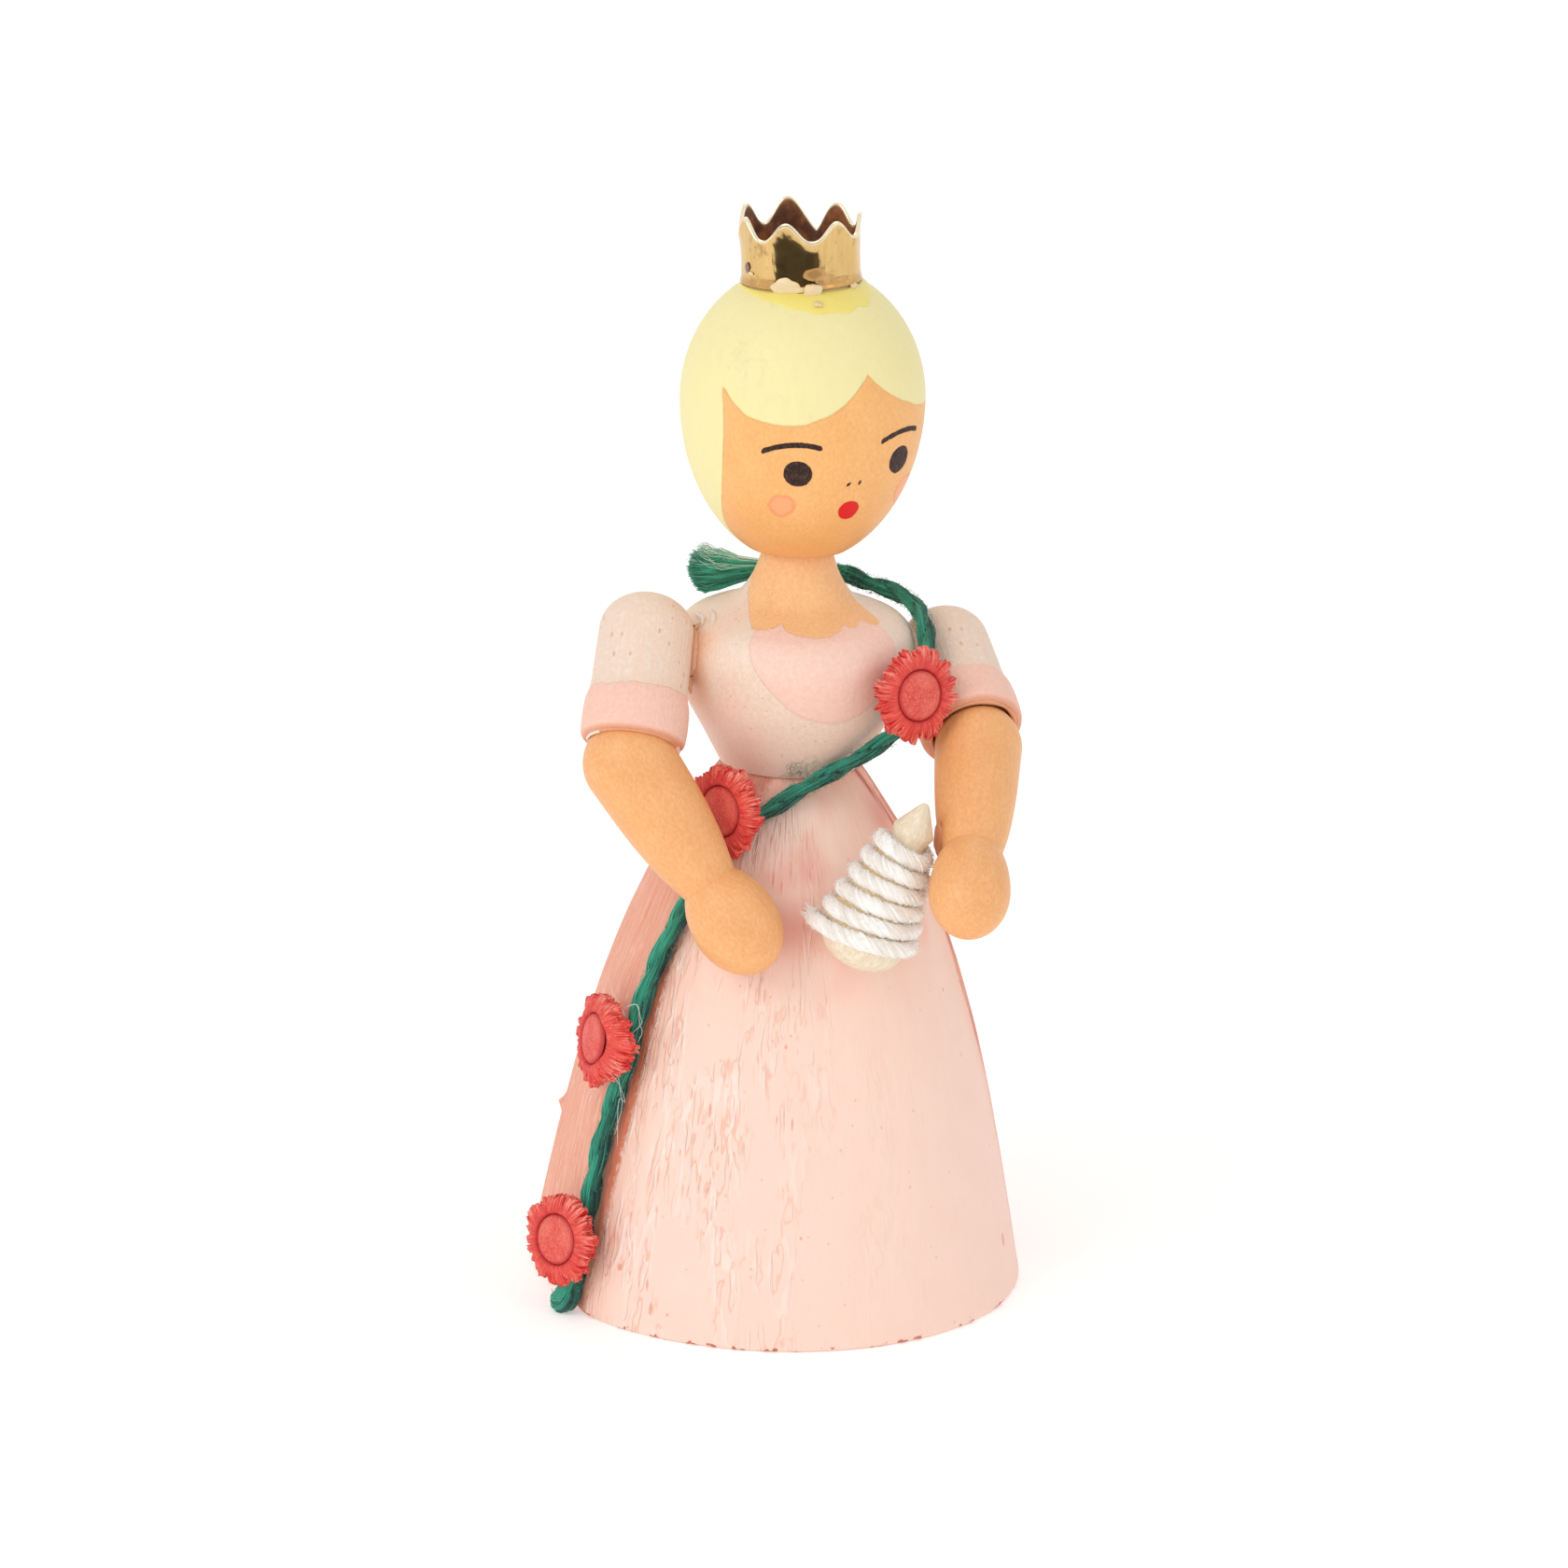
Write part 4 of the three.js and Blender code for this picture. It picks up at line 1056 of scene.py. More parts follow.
# Arms: how each was turned and glued on
SLEEVE_RADIUS = 3.4
SLEEVE_LENGTH = 11.3
SLEEVE_DOME = 2.8
SLEEVE_SET_IN = 0.5
CUFF_RADIUS = 3.8
CUFF_PAINT = 7.85
CUFF_BORE_END = 9.1
ELBOW_OUT = 1.5
FOREARM_LENGTH = 10.3
WRIST_RADIUS = 2.1
HAND_LENGTH = 7.3
HAND_TIP = 1.25
ARMS = {
    "right": {
        "side": -1, "forward": -0.8, "height": 10.4, "sleeve": (29.9, 19.5), "forearm": (31.0, -24.3),
        "elbow": 3.35, "hand": 3.15,
    },
    "left": {
        "side": 1, "forward": 1.3, "height": 7.5, "sleeve": (59.6, -8.0), "forearm": (55.3, -24.9),
        "elbow": 3.15, "hand": 2.9,
    },
}


def hanging(side, swing, lean):
    """The direction of an arm that swings forward and leans outward, in degrees from straight down."""
    swung = math.radians(swing)
    leaned = math.radians(lean)
    return Vector((
        side * math.sin(leaned),
        -math.cos(leaned) * math.sin(swung),
        -math.cos(leaned) * math.cos(swung),
    ))


def sleeve_at(arm, distance):
    """A place on the sleeve's axis, at a distance from the tip of its dome."""
    across = ARM_FLAT + GLUE_GAP + SLEEVE_RADIUS - SLEEVE_SET_IN
    dome_end = Vector((arm["side"] * across, -arm["forward"], TORSO_FOOT + arm["height"]))
    return dome_end + hanging(arm["side"], *arm["sleeve"]) * (distance - SLEEVE_DOME)


def elbow_of(arm):
    return sleeve_at(arm, SLEEVE_LENGTH + ELBOW_OUT)


def hand_middle(arm):
    """How far the widest ring of the hand is from the elbow."""
    return FOREARM_LENGTH + HAND_LENGTH - arm["hand"] * HAND_TIP


# Skirt, bored for the torso's tenon, with an uneven coat of paint and a chipped hem
def skirt_radius(height):
    turn_in = (SKIRT_RADIUS - SKIRT_WAIST_RADIUS) / WAIST_HEIGHT - SKIRT_FLARE
    return SKIRT_RADIUS - height * (SKIRT_FLARE + turn_in * (height / WAIST_HEIGHT) ** SKIRT_CURL)


SKIRT_SIDES = 240
SKIRT_ROWS = 130
HEM_EASE = 0.12
PAINTED_FROM = -75
PAINTED_TO = 66
SPLINTER_AT = (-119.5, 12.0)
WORN_SIDE_AT = -99
bore = WAIST_TENON_RADIUS + SLIP_GAP
bore_foot = TORSO_FOOT - WAIST_TENON_LENGTH - TENON_ROOM
skirt_profile = [
    *straight((0, 0), (SKIRT_RADIUS - HEM_BEVEL, 0), 6),
    (skirt_radius(HEM_EASE) - HEM_EASE, HEM_EASE),
    *[(skirt_radius(h), h) for h in np.linspace(HEM_BEVEL, WAIST_HEIGHT, SKIRT_ROWS)],
    (bore, WAIST_HEIGHT),
    (bore, bore_foot),
    (0, bore_foot),
]
skirt = turned("skirt", skirt_profile, SKIRT_SIDES)
places = points_of(skirt)
for number, (x, y, z) in enumerate(places):
    radius = math.hypot(x, y)
    if radius < bore + 0.5:
        continue
    azimuth = azimuth_of(x, y)
    painted = within(azimuth, PAINTED_FROM, PAINTED_FROM + 12) * within(azimuth, PAINTED_TO, PAINTED_TO - 12)
    ripple = noise.noise(Vector((x * 0.45, y * 0.45, z * 0.09)))
    stroke = noise.noise(Vector((x * 1.5 + 9, y * 1.5, z * 0.2)))
    lift = 0.05 * ripple + lerp(0.02, 0.035, painted) * stroke
    if z < 0.6:
        chip = noise.noise(Vector((x * 0.8, y * 0.8, 4.0)))
        lift -= 0.22 * max(chip - 0.18, 0)
    lift += 0.5 * math.exp(-hill(azimuth, SPLINTER_AT[0], 1.6) - hill(z, SPLINTER_AT[1], 0.35))
    worn = 1.35 * math.exp(-hill(azimuth, WORN_SIDE_AT, 19, 4)) * max(1 - z / 2.4, 0) ** 1.4
    share = min(z / 0.3, 1.0)
    places[number, 0] += x / radius * (lift * share - worn * radius / SKIRT_RADIUS)
    places[number, 1] += y / radius * (lift * share - worn * radius / SKIRT_RADIUS)
move_points(skirt, places)
dressed(skirt, skirt_finish(), "skirt_paint", "skirt")

# Torso, with a tenon at each end and a bore for each dowel
TORSO_FOOT_RADIUS = 5.2
SHOULDER_RADIUS = 8.4
NECK_BASE_RADIUS = 4.2
NECK_RADIUS = 2.45
SHOULDER_FOOT = TORSO_FOOT + 10.3
SHOULDER_SLOPE = 0.45
SHOULDER_TOP = SHOULDER_FOOT + (SHOULDER_RADIUS - NECK_BASE_RADIUS) * SHOULDER_SLOPE


def shoulder_at(inward, upward):
    return lerp(SHOULDER_RADIUS, NECK_BASE_RADIUS, inward), lerp(SHOULDER_FOOT, SHOULDER_TOP, upward)


def neck_at(inward, upward):
    return lerp(NECK_BASE_RADIUS, NECK_RADIUS, inward), lerp(SHOULDER_TOP, NECK_TOP, upward)


bodice_curve = [
    (radius, TORSO_FOOT + height) for radius, height in ((6.55, 2.5), (7.9, 5.0), (8.8, 8.1), (8.55, 9.65))
]
neck_curve = [
    shoulder_at(0.14, 0.16), shoulder_at(0.36, 0.42), shoulder_at(0.66, 0.68),
    (NECK_BASE_RADIUS, SHOULDER_TOP + 0.15), neck_at(0.6, 0.45), neck_at(1, 1),
]
torso_side = [
    *straight((TORSO_FOOT_RADIUS, TORSO_FOOT), bodice_curve[0], 6)[:-1],
    *smooth_line([*bodice_curve, *neck_curve], 88),
]


def torso_turning(name, spare, sides):
    """The torso, or the same with some mm to spare all round, to cut a seat for it."""
    tenon_foot = TORSO_FOOT - WAIST_TENON_LENGTH
    profile = [
        (0, tenon_foot),
        (WAIST_TENON_RADIUS, tenon_foot),
        (WAIST_TENON_RADIUS, TORSO_FOOT),
        *[(radius + spare, height) for radius, height in torso_side],
        (NECK_TENON_RADIUS, NECK_TOP),
        (NECK_TENON_RADIUS, NECK_TOP + NECK_TENON_LENGTH),
        (0, NECK_TOP + NECK_TENON_LENGTH),
    ]
    return turned(name, profile, sides)


DOWEL_BORE_RADIUS = 1.05
DOWEL_BORE_DEPTH = 2.5


def dowel_bore(arm):
    radius = DOWEL_BORE_RADIUS
    deep = DOWEL_BORE_DEPTH
    hole = turned("dowel_bore", [(0, -deep), (radius, -deep), (radius, deep), (0, deep)], 32)
    set_at = sleeve_at(arm, SLEEVE_DOME + 1.0)
    return settle(hole, aim((1, 0, 0), (arm["side"] * (ARM_FLAT + GLUE_GAP / 2), set_at.y, set_at.z)))


torso = torso_turning("torso", 0.0, 160)
for arm in ARMS.values():
    cut(torso, dowel_bore(arm))
dressed(torso, torso_finish(), "bodice_paint", "torso")

# Sleeves, each with a dome that fits the torso and a cuff that is bored for the elbow
SLEEVE_PROFILE = [
    *arc(SLEEVE_RADIUS, SLEEVE_DOME, SLEEVE_DOME, -90, 0, 16),
    *smooth_line([(3.4, 2.8), (3.46, 5.4), (3.5, 7.3), (3.76, 8.5), (3.82, 9.8), (3.78, 10.8)], 24)[1:],
    (3.72, 11.02), (3.6, 11.18), (3.44, 11.27), (3.34, 11.3), (3.27, 11.26), (3.25, 11.15),
    (3.25, CUFF_BORE_END), (0, CUFF_BORE_END),
]
sleeve_paint = sleeve_finish()
for name, arm in ARMS.items():
    sleeve = turned("sleeve_" + name, SLEEVE_PROFILE, 112)
    stands = aim(hanging(arm["side"], *arm["sleeve"]), sleeve_at(arm, 0))
    settle(sleeve, stands)
    cut(sleeve, torso_turning("torso_seat", GLUE_GAP / 2, 96))
    cut(sleeve, dowel_bore(arm))
    dressed(sleeve, sleeve_paint, "bodice_paint", "sleeve_" + name, place=stands)

# Forearms, each with its hand in the same turning
skin_paint = skin_finish()
for name, arm in ARMS.items():
    elbow = arm["elbow"]
    hand = arm["hand"]
    middle = hand_middle(arm)
    wrist_angle = math.degrees(math.acos(WRIST_RADIUS / hand))
    hand_back = (middle - FOREARM_LENGTH) / math.sin(math.radians(wrist_angle))
    sides = [
        (elbow, 0), (elbow * 0.94, FOREARM_LENGTH * 0.42),
        ((elbow + WRIST_RADIUS) / 2, FOREARM_LENGTH * 0.75), (WRIST_RADIUS, FOREARM_LENGTH),
    ]
    profile = [
        *arc(elbow, elbow, 0, -90, 0, 16)[:-1],
        *smooth_line(sides, 30),
        *arc(hand, hand_back, middle, -wrist_angle, 0, 14)[1:],
        *arc(hand, hand * HAND_TIP, middle, 0, 90, 18)[1:],
    ]
    forearm = turned("forearm_" + name, profile, 96)
    stands = aim(hanging(arm["side"], *arm["forearm"]), elbow_of(arm))
    settle(forearm, stands)
    dressed(forearm, skin_paint, "skin_paint", "forearm_" + name, place=stands, sharp=25)

# Head, bored from below for the neck's tenon
seat_angle = math.degrees(math.asin(HEAD_SEAT_DROP / HEAD_DROP))
head_bore = NECK_TENON_RADIUS + SLIP_GAP
head_bore_top = NECK_TOP + NECK_TENON_LENGTH + TENON_ROOM
head_profile = [
    (0, head_bore_top),
    (head_bore, head_bore_top),
    (head_bore, HEAD_SEAT),
    *arc(HEAD_RADIUS, HEAD_DROP, HEAD_MIDDLE, -seat_angle, 0, 60),
    *arc(HEAD_RADIUS, HEAD_RISE, HEAD_MIDDLE, 0, 90, 50)[1:],
]
head = turned("head", head_profile, 200)
dressed(head, head_finish(), "hair_paint", "head")

# Crown: a ring drawn up from a circle, its rim cut into seven teeth and its wall given a thickness
CROWN_RADIUS = 4.28
CROWN_LIP = 0.12
CROWN_WALL = 0.3
CROWN_HEIGHT = 5.0
CROWN_TEETH = 7
TOOTH_DEPTH = 1.6
CROWN_OFFSET = Vector((-0.26, 0.34))
CROWN_FIRST_TOOTH = 178.3
# How much taller or lower each tooth is, and the deepest gap between two of them, at the back
TOOTH_CHANGES = (-0.2, -0.24, -0.36, -0.3, -0.14, 0.16, 0.24)
NOTCH_AT = 46.0
NOTCH_DEPTH = 0.7
NOTCH_REACH = 9.0
CROWN_ROWS = [
    (0.04, 0.06), (0.12, 0.0), (0.2, -0.01), (0.4, -0.02), (0.6, 0.0), (0.72, 0.015), (0.82, 0.045),
    (0.9, 0.08), (0.96, 0.12), (1.0, 0.16),
]


def crown_ring():
    clear_selection()
    foot = CROWN_RADIUS + CROWN_LIP
    bpy.ops.mesh.primitive_circle_add(vertices=CROWN_TEETH * 30, radius=foot * MM)
    ring = bpy.context.object
    bpy.ops.object.mode_set(mode="EDIT")
    radius = foot
    height = 0.0
    for share, lip in CROWN_ROWS:
        rise = (CROWN_HEIGHT * share - height) * MM
        bpy.ops.mesh.extrude_region_move(TRANSFORM_OT_translate={"value": (0, 0, rise)})
        wider = (CROWN_RADIUS + lip) / radius
        bpy.ops.transform.resize(value=(wider, wider, 1), center_override=(0, 0, CROWN_HEIGHT * share * MM))
        radius = CROWN_RADIUS + lip
        height = CROWN_HEIGHT * share
    bpy.ops.mesh.select_all(action="SELECT")
    bpy.ops.mesh.normals_make_consistent(inside=False)
    bpy.ops.object.mode_set(mode="OBJECT")
    side = ring.data.polygons[0]
    if side.normal.dot(side.center) < 0:
        ring.data.flip_normals()
    places = points_of(ring)
    rim = ring.data.attributes.new("rim", "FLOAT", "POINT")
    rim.data.foreach_set("value", (places[:, 2] / CROWN_HEIGHT).astype(np.float32))
    for number, (x, y, z) in enumerate(places):
        degrees = math.degrees(math.atan2(y, x))
        angle = math.atan2(y, x) - math.radians(CROWN_FIRST_TOOTH)
        uneven = 0.08 * math.sin(3 * angle + 1.0) + 0.05 * math.sin(8 * angle)
        tooth = 0.5 + 0.5 * math.cos(CROWN_TEETH * angle)
        tooth = lerp(tooth, tooth ** 1.4, 0.6)
        change = TOOTH_CHANGES[round(math.degrees(angle) / 360 * CROWN_TEETH) % CROWN_TEETH]
        notch = NOTCH_DEPTH * math.exp(-hill(degrees, NOTCH_AT, NOTCH_REACH))
        full = CROWN_HEIGHT - TOOTH_DEPTH * (1 - tooth) + (uneven + change) * tooth - notch
        places[number, 2] = z / CROWN_HEIGHT * full
    move_points(ring, places)
    apply_modifier(ring, "SOLIDIFY", thickness=CROWN_WALL * MM, offset=-1.0)
    apply_modifier(
        ring, "BEVEL", width=0.07 * MM, segments=3, limit_method="ANGLE", angle_limit=math.radians(50)
    )
    return ring


def head_top(reach):
    """The height of the head's top, at a distance from the axis."""
    return HEAD_MIDDLE + HEAD_RISE * math.sqrt(1 - (reach / HEAD_RADIUS) ** 2)


crown_foot = CROWN_RADIUS + CROWN_LIP - CROWN_WALL
crown_high = head_top(crown_foot - CROWN_OFFSET.length)
crown_low = head_top(crown_foot + CROWN_OFFSET.length)
crown_lean = math.atan2(crown_high - crown_low, 2 * crown_foot)
crown_hinge = Vector((-CROWN_OFFSET.y, CROWN_OFFSET.x, 0)).normalized()
crown_at = Vector((CROWN_OFFSET.x, CROWN_OFFSET.y, (crown_high + crown_low) / 2 + GLUE_GAP))
crown_place = Matrix.Translation(crown_at * MM) @ Matrix.Rotation(crown_lean, 4, crown_hinge)
crown = crown_ring()
crown.name = "crown"
settle(crown, crown_place)
dressed(crown, crown_finish(), "crown_brass", "crown", place=crown_place, sharp=40)

# Spindle: its turned core, and the cotton wound on it as one plied thread
SPINDLE_AIM = Vector((-0.37, 0.12, -0.92)).normalized()
SPINDLE_RADIUS = 3.05
SPINDLE_NECK_RADIUS = 1.15
SPINDLE_NECK_DEPTH = 3.2
SPINDLE_FOOT_DEPTH = 10.9
left_arm = ARMS["left"]
left_hand = elbow_of(left_arm) + hanging(1, *left_arm["forearm"]) * hand_middle(left_arm)
spindle_tip = left_hand + Vector((-1.4, 4.36, 5.5))
spindle_place = aim(SPINDLE_AIM, spindle_tip)
core_profile = [
    (0, 0), (0.14, 0.03), (0.28, 0.14), (0.45, 0.36), (1.38, 1.9), (1.5, 2.1), (1.55, 2.22), (1.5, 2.36),
    (1.3, 2.85), (SPINDLE_NECK_RADIUS, 3.6),
    *arc(SPINDLE_RADIUS, 2.1, SPINDLE_FOOT_DEPTH, 0, 90, 16),
]
core = turned("spindle_core", core_profile, 72)
settle(core, spindle_place)
dressed(
    core, wood_finish("spindle wood", 3.5, 10.3), "bare_wood", "spindle_core", place=spindle_place, sharp=30
)

COTTON_PITCH = 1.33
COTTON_DEPTH = 2.74
COTTON_FROM = 0.3
COTTON_TO = 6.03
COTTON_STEPS = 90
COTTON_OUT = 0.46
COTTON_LOOSE_FROM = 5.93
BED_OUT = 0.5
BED_FROM = 4.0
BED_TO = 10.1


def core_radius(depth):
    """The radius of the spindle's core where the cotton is wound, at a depth below its tip."""
    slope = (SPINDLE_RADIUS - SPINDLE_NECK_RADIUS) / (SPINDLE_FOOT_DEPTH - SPINDLE_NECK_DEPTH)
    return SPINDLE_NECK_RADIUS + (depth - SPINDLE_NECK_DEPTH) * slope


def cotton_route():
    """The thread's middle, from behind the neck down to its loose end on her right of the foot."""
    count = round((COTTON_TO - COTTON_FROM) * COTTON_STEPS)
    route = []
    for step in range(count + 1):
        turns = lerp(COTTON_FROM, COTTON_TO, step / count)
        angle = turns * FULL_TURN
        depth = COTTON_DEPTH + turns * COTTON_PITCH
        radius = core_radius(depth) + COTTON_OUT
        depth -= lerp(0.57, -0.26, turns / 6) * math.cos(angle)
        depth += 0.07 * noise.noise(Vector((turns * 3.0, 1.0, 0.0)))
        radius += 0.07 * noise.noise(Vector((turns * 4.0, 7.0, 0.0)))
        radius += 0.5 * max(turns - COTTON_LOOSE_FROM, 0) / 0.1
        route.append(around_axis(math.degrees(angle), radius, depth))
    return route


cotton_white = thread_finish("white cotton", (240, 233, 224), (252, 249, 245), (232, 218, 196), 0.3)
cotton_line = cotton_route()
cotton = stranded("spindle_thread", cotton_line, 1, 0.0, 4.0, 16, 0.47, 3.4, 0.13)
cotton_core = fibres("cotton_core", [cotton_line], 0.44, sides=3)
cotton = join("spindle_thread", [cotton, cotton_core])
settle(cotton, spindle_place)
dressed(cotton, cotton_white, "cotton", "spindle_thread", place=spindle_place, sharp=0)


def fluff(name, route, count, start_at, reach, thickness, seed):
    """Short hairs that stand off a thread."""
    shake = random.Random(seed)
    frames = along(route)
    hairs = []
    for _ in range(count):
        number = shake.randrange(2, len(route) - 2)
        _, tangent, side, other = frames[number]
        angle = shake.uniform(0, FULL_TURN)
        out = side * math.cos(angle) + other * math.sin(angle)
        around = tangent.cross(out)
        start = route[number] + out * start_at
        lean = tangent * shake.uniform(-1, 1) + around * shake.uniform(-0.8, 0.8)
        size = shake.uniform(0.4, 1.0) * reach
        bend = start + (out * 0.45 + lean * 0.5) * size
        hairs.append([start, bend, start + (out * 0.5 + lean * 1.2) * size])
    return fibres(name, hairs, thickness)


cotton_fluff = fluff("cotton_fluff", cotton_line, 4800, 0.54, 0.4, 0.021, 3)
shake = random.Random(8)
cotton_end = []
loose_end = cotton_line[-1]
end_way = (loose_end - cotton_line[-4]).normalized()
end_out = outward(loose_end)
for _ in range(46):
    loose = Vector([shake.uniform(-1, 1) for _ in range(3)])
    start = loose_end - end_way * 0.5 + loose * 0.3
    middle = loose_end + end_way * 0.15 + end_out * 0.1 + loose * 0.42
    cotton_end.append([start, middle, middle + end_way * 0.35 + end_out * 0.2 + loose * 0.2])
cotton_fray = fibres("cotton_fray", cotton_end, 0.06, sides=1)
cotton_fluff = join("cotton_fluff", [cotton_fluff, cotton_fray])
settle(cotton_fluff, spindle_place)
dressed(cotton_fluff, cotton_white, "cotton", place=spindle_place, sharp=0)

# Bed of the cotton: a tan layer below the turns, that shows between them as painted shade in the grooves
bed_depths = [lerp(BED_FROM, BED_TO, step / 24) for step in range(25)]
bed_side = [(core_radius(depth) + BED_OUT, depth) for depth in bed_depths]
cotton_bed = turned("cotton_bed", [(0, BED_FROM), *bed_side, (0, BED_TO)], 64)
settle(cotton_bed, spindle_place)
cotton_groove_shade = thread_finish("cotton groove shade", (214, 186, 138), (234, 212, 172), (240, 224, 194), 0.3)
dressed(cotton_bed, cotton_groove_shade, "cotton", place=spindle_place)

# Sash: the places that the yarn's middle passes, from its frayed end to the hem
YARN_RADIUS = 0.8
YARN_ON_TORSO = [
    (122, 8.6, 12.7), (113, 7.3, 12.7), (103, 6.2, 12.75), (85, 5.5, 12.85), (65, 5.2, 12.85),
    (45, 5.4, 12.7), (33, 5.7, 12.7), (24, 6.25, 12.55), (20, 7.0, 12.05), (14, 7.8, 11.75),
    (6, 8.35, 11.55), (-4, 8.65, 11.4), (-14, 8.95, 11.1), (-24, 9.2, 10.75), (-31, 9.45, 10.2),
    (-38, 9.75, 9.4), (-46, 10.35, 8.2), (-53, 10.8, 6.55), (-59.5, 9.95, 4.7), (-66, 8.25, 2.8),
    (-75, 7.2, 1.7), (-86, 6.75, 1.0), (-98, 6.6, 0.3), (-112, 6.65, -0.6),
]
YARN_ON_SKIRT = [
    (-127, 0.957), (-137, 0.934), (-145, 0.907), (-151.5, 0.871), (-155.5, 0.812), (-158.5, 0.752),
    (-162, 0.673), (-164, 0.588), (-164.3, 0.483), (-166.3, 0.391), (-167.4, 0.312), (-167.6, 0.198),
    (-167.2, 0.113), (-168.2, 0.054), (-169.8, 0.03),
]
YARN_FOLD = [(-171.4, 0.027, 0.8), (-173.2, 0.03, 0.7)]


def beside_skirt(degrees, share, clear):
    height = share * WAIST_HEIGHT
    return around_axis(degrees, skirt_radius(height) + clear, height)


def yarn_on_skirt(degrees, share):
    turn_in = (SKIRT_RADIUS - SKIRT_WAIST_RADIUS) / WAIST_HEIGHT - SKIRT_FLARE
    slope = SKIRT_FLARE + turn_in * (SKIRT_CURL + 1) * share ** SKIRT_CURL
    return beside_skirt(degrees, share, (YARN_RADIUS + 0.05) * math.hypot(1, slope))


yarn_route = route_through([
    *[around_axis(degrees, radius, TORSO_FOOT + height) for degrees, radius, height in YARN_ON_TORSO],
    *[yarn_on_skirt(*at) for at in YARN_ON_SKIRT],
    *[beside_skirt(*at) for at in YARN_FOLD],
], 10)
FRAY_LENGTH = 4.6
SKIRT_AT_LENGTH = 42
FOLD_LENGTH = 2.4
ROUND_LENGTH = 0.9


def yarn_swell(length, whole):
    """How wide the yarn is, as a share: uneven along its way, and rounded where it folds at the hem."""
    to_end = whole - length
    on_skirt = within(length, SKIRT_AT_LENGTH, SKIRT_AT_LENGTH + 8)
    width = lerp(0.94, 1.1, on_skirt) + 0.07 * noise.noise(Vector((length * 0.35, 3.0, 0.0)))
    if to_end < FOLD_LENGTH:
        width *= lerp(1.75, 1.0, to_end / FOLD_LENGTH)
    if to_end < ROUND_LENGTH:
        width *= math.sqrt(max(1 - (1 - to_end / ROUND_LENGTH) ** 2, 0.02))
    return width


yarn_green = thread_finish("green yarn", (3, 48, 45), (44, 168, 136), (84, 190, 156), 0.22)
yarn_loose = thread_finish("loose green fluff", (40, 130, 104), (104, 178, 152), (130, 200, 176), 0.3)
yarn_frames = along(yarn_route)
opened = next(number for number, (length, *_) in enumerate(yarn_frames) if length > FRAY_LENGTH - 1.4)
sash = stranded("sash_twine", yarn_route[opened:], 2, 0.2, 7.4, 26, 0.42, -26.0, 0.062, 0, yarn_swell)
# The sash's strands get painted light on one side and painted shade on the other.
painted_side_light(sash, yarn_route[opened:], YARN_RADIUS * 0.8, Vector((-0.9, 0.1, 0.45)))
sash_core = fibres("sash_core", [yarn_route[opened:-9]], 0.42, sides=3)
sash = join("sash_twine", [sash, sash_core])
dressed(sash, yarn_green, "green_yarn", "sash_twine", sharp=0)
yarn_fluff = fluff("sash_fluff", yarn_route[opened:], 3000, 0.58, 0.4, 0.012, 11)
dressed(yarn_fluff, yarn_loose, "green_yarn", sharp=0)


# Tuft: the strands open into a flat brush, taller than it is deep
def at_length(wanted):
    number = min(range(len(yarn_route)), key=lambda n: abs(yarn_frames[n][0] - wanted))
    return yarn_route[number]


def tuft(name, count, low, high, thickness, loose, seed):
    shake = random.Random(seed)
    away = (yarn_route[0] - at_length(2.0)).normalized()
    rise = (UP - away * UP.dot(away)).normalized()
    level = away.cross(rise)
    hairs = []
    for _ in range(count):
        upward = shake.uniform(low, high)
        deep = shake.uniform(-1, 1) * math.sqrt(max(1 - upward * upward * 0.8, 0.05))
        hair = []
        sag = 1.28 if upward < 0 else 1.0
        for back, wide, tall in ((4.6, 0.5, 0.55), (3.2, 0.62, 0.8), (1.8, 0.7, 1.15), (0.7, 0.7, 1.38)):
            hair.append(at_length(back) + level * deep * wide + rise * (upward * tall * sag + 0.08))
        reach = 0.42 - 0.75 * upward * upward + shake.uniform(-0.22, 0.14)
        end = yarn_route[0] + away * reach + level * deep * 0.7 + rise * (upward * 1.62 + 0.12)
        hair.append(end)
        for number in (2, 3, 4):
            hair[number] = hair[number] + Vector([shake.uniform(-loose, loose) for _ in range(3)])
        hairs.append(hair)
    return fibres(name, hairs, thickness, sides=1)


yarn_pale = thread_finish("pale yarn fluff", (150, 206, 182), (228, 240, 232), (244, 248, 244), 0.4)
yarn_open = thread_finish("opened yarn", (14, 112, 90), (56, 174, 140), (110, 200, 170), 0.4)
dressed(tuft("sash_tuft", 420, -1.0, 0.78, 0.06, 0.12, 4), yarn_open, "green_yarn", sharp=0)
dressed(tuft("sash_tuft_pale", 130, 0.3, 1.15, 0.026, 0.32, 6), yarn_pale, "green_yarn", sharp=0)


# Curls of green fluff that rubbed off on the bodice, above the yarn
def curls(name, azimuths, heights, count, thickness, seed):
    shake = random.Random(seed)
    hairs = []
    for _ in range(count):
        azimuth = shake.uniform(*azimuths)
        level = shake.uniform(*heights)
        heading = shake.uniform(0, FULL_TURN)
        turning = shake.uniform(-1.1, 1.1)
        hair = []
        for step in range(7):
            spot = torso_place(azimuth, level)
            hair.append(spot + outward(spot) * (0.08 + 0.12 * math.sin(step * 0.5)))
            azimuth += math.cos(heading) * 1.5
            level += math.sin(heading) * 0.16
            heading += turning
        hairs.append(hair)
    return fibres(name, hairs, thickness)


def torso_place(azimuth, height):
    heights = [level for _, level in torso_side]
    radius = float(np.interp(height, heights, [reach for reach, _ in torso_side]))
    return around_axis(azimuth - 90, radius, height)


rubbed_off = curls("bodice_fluff", (-29, -10), (TORSO_FOOT, TORSO_FOOT + 1.4), 36, 0.009, 31)
dressed(rubbed_off, yarn_green, "green_yarn", sharp=0)

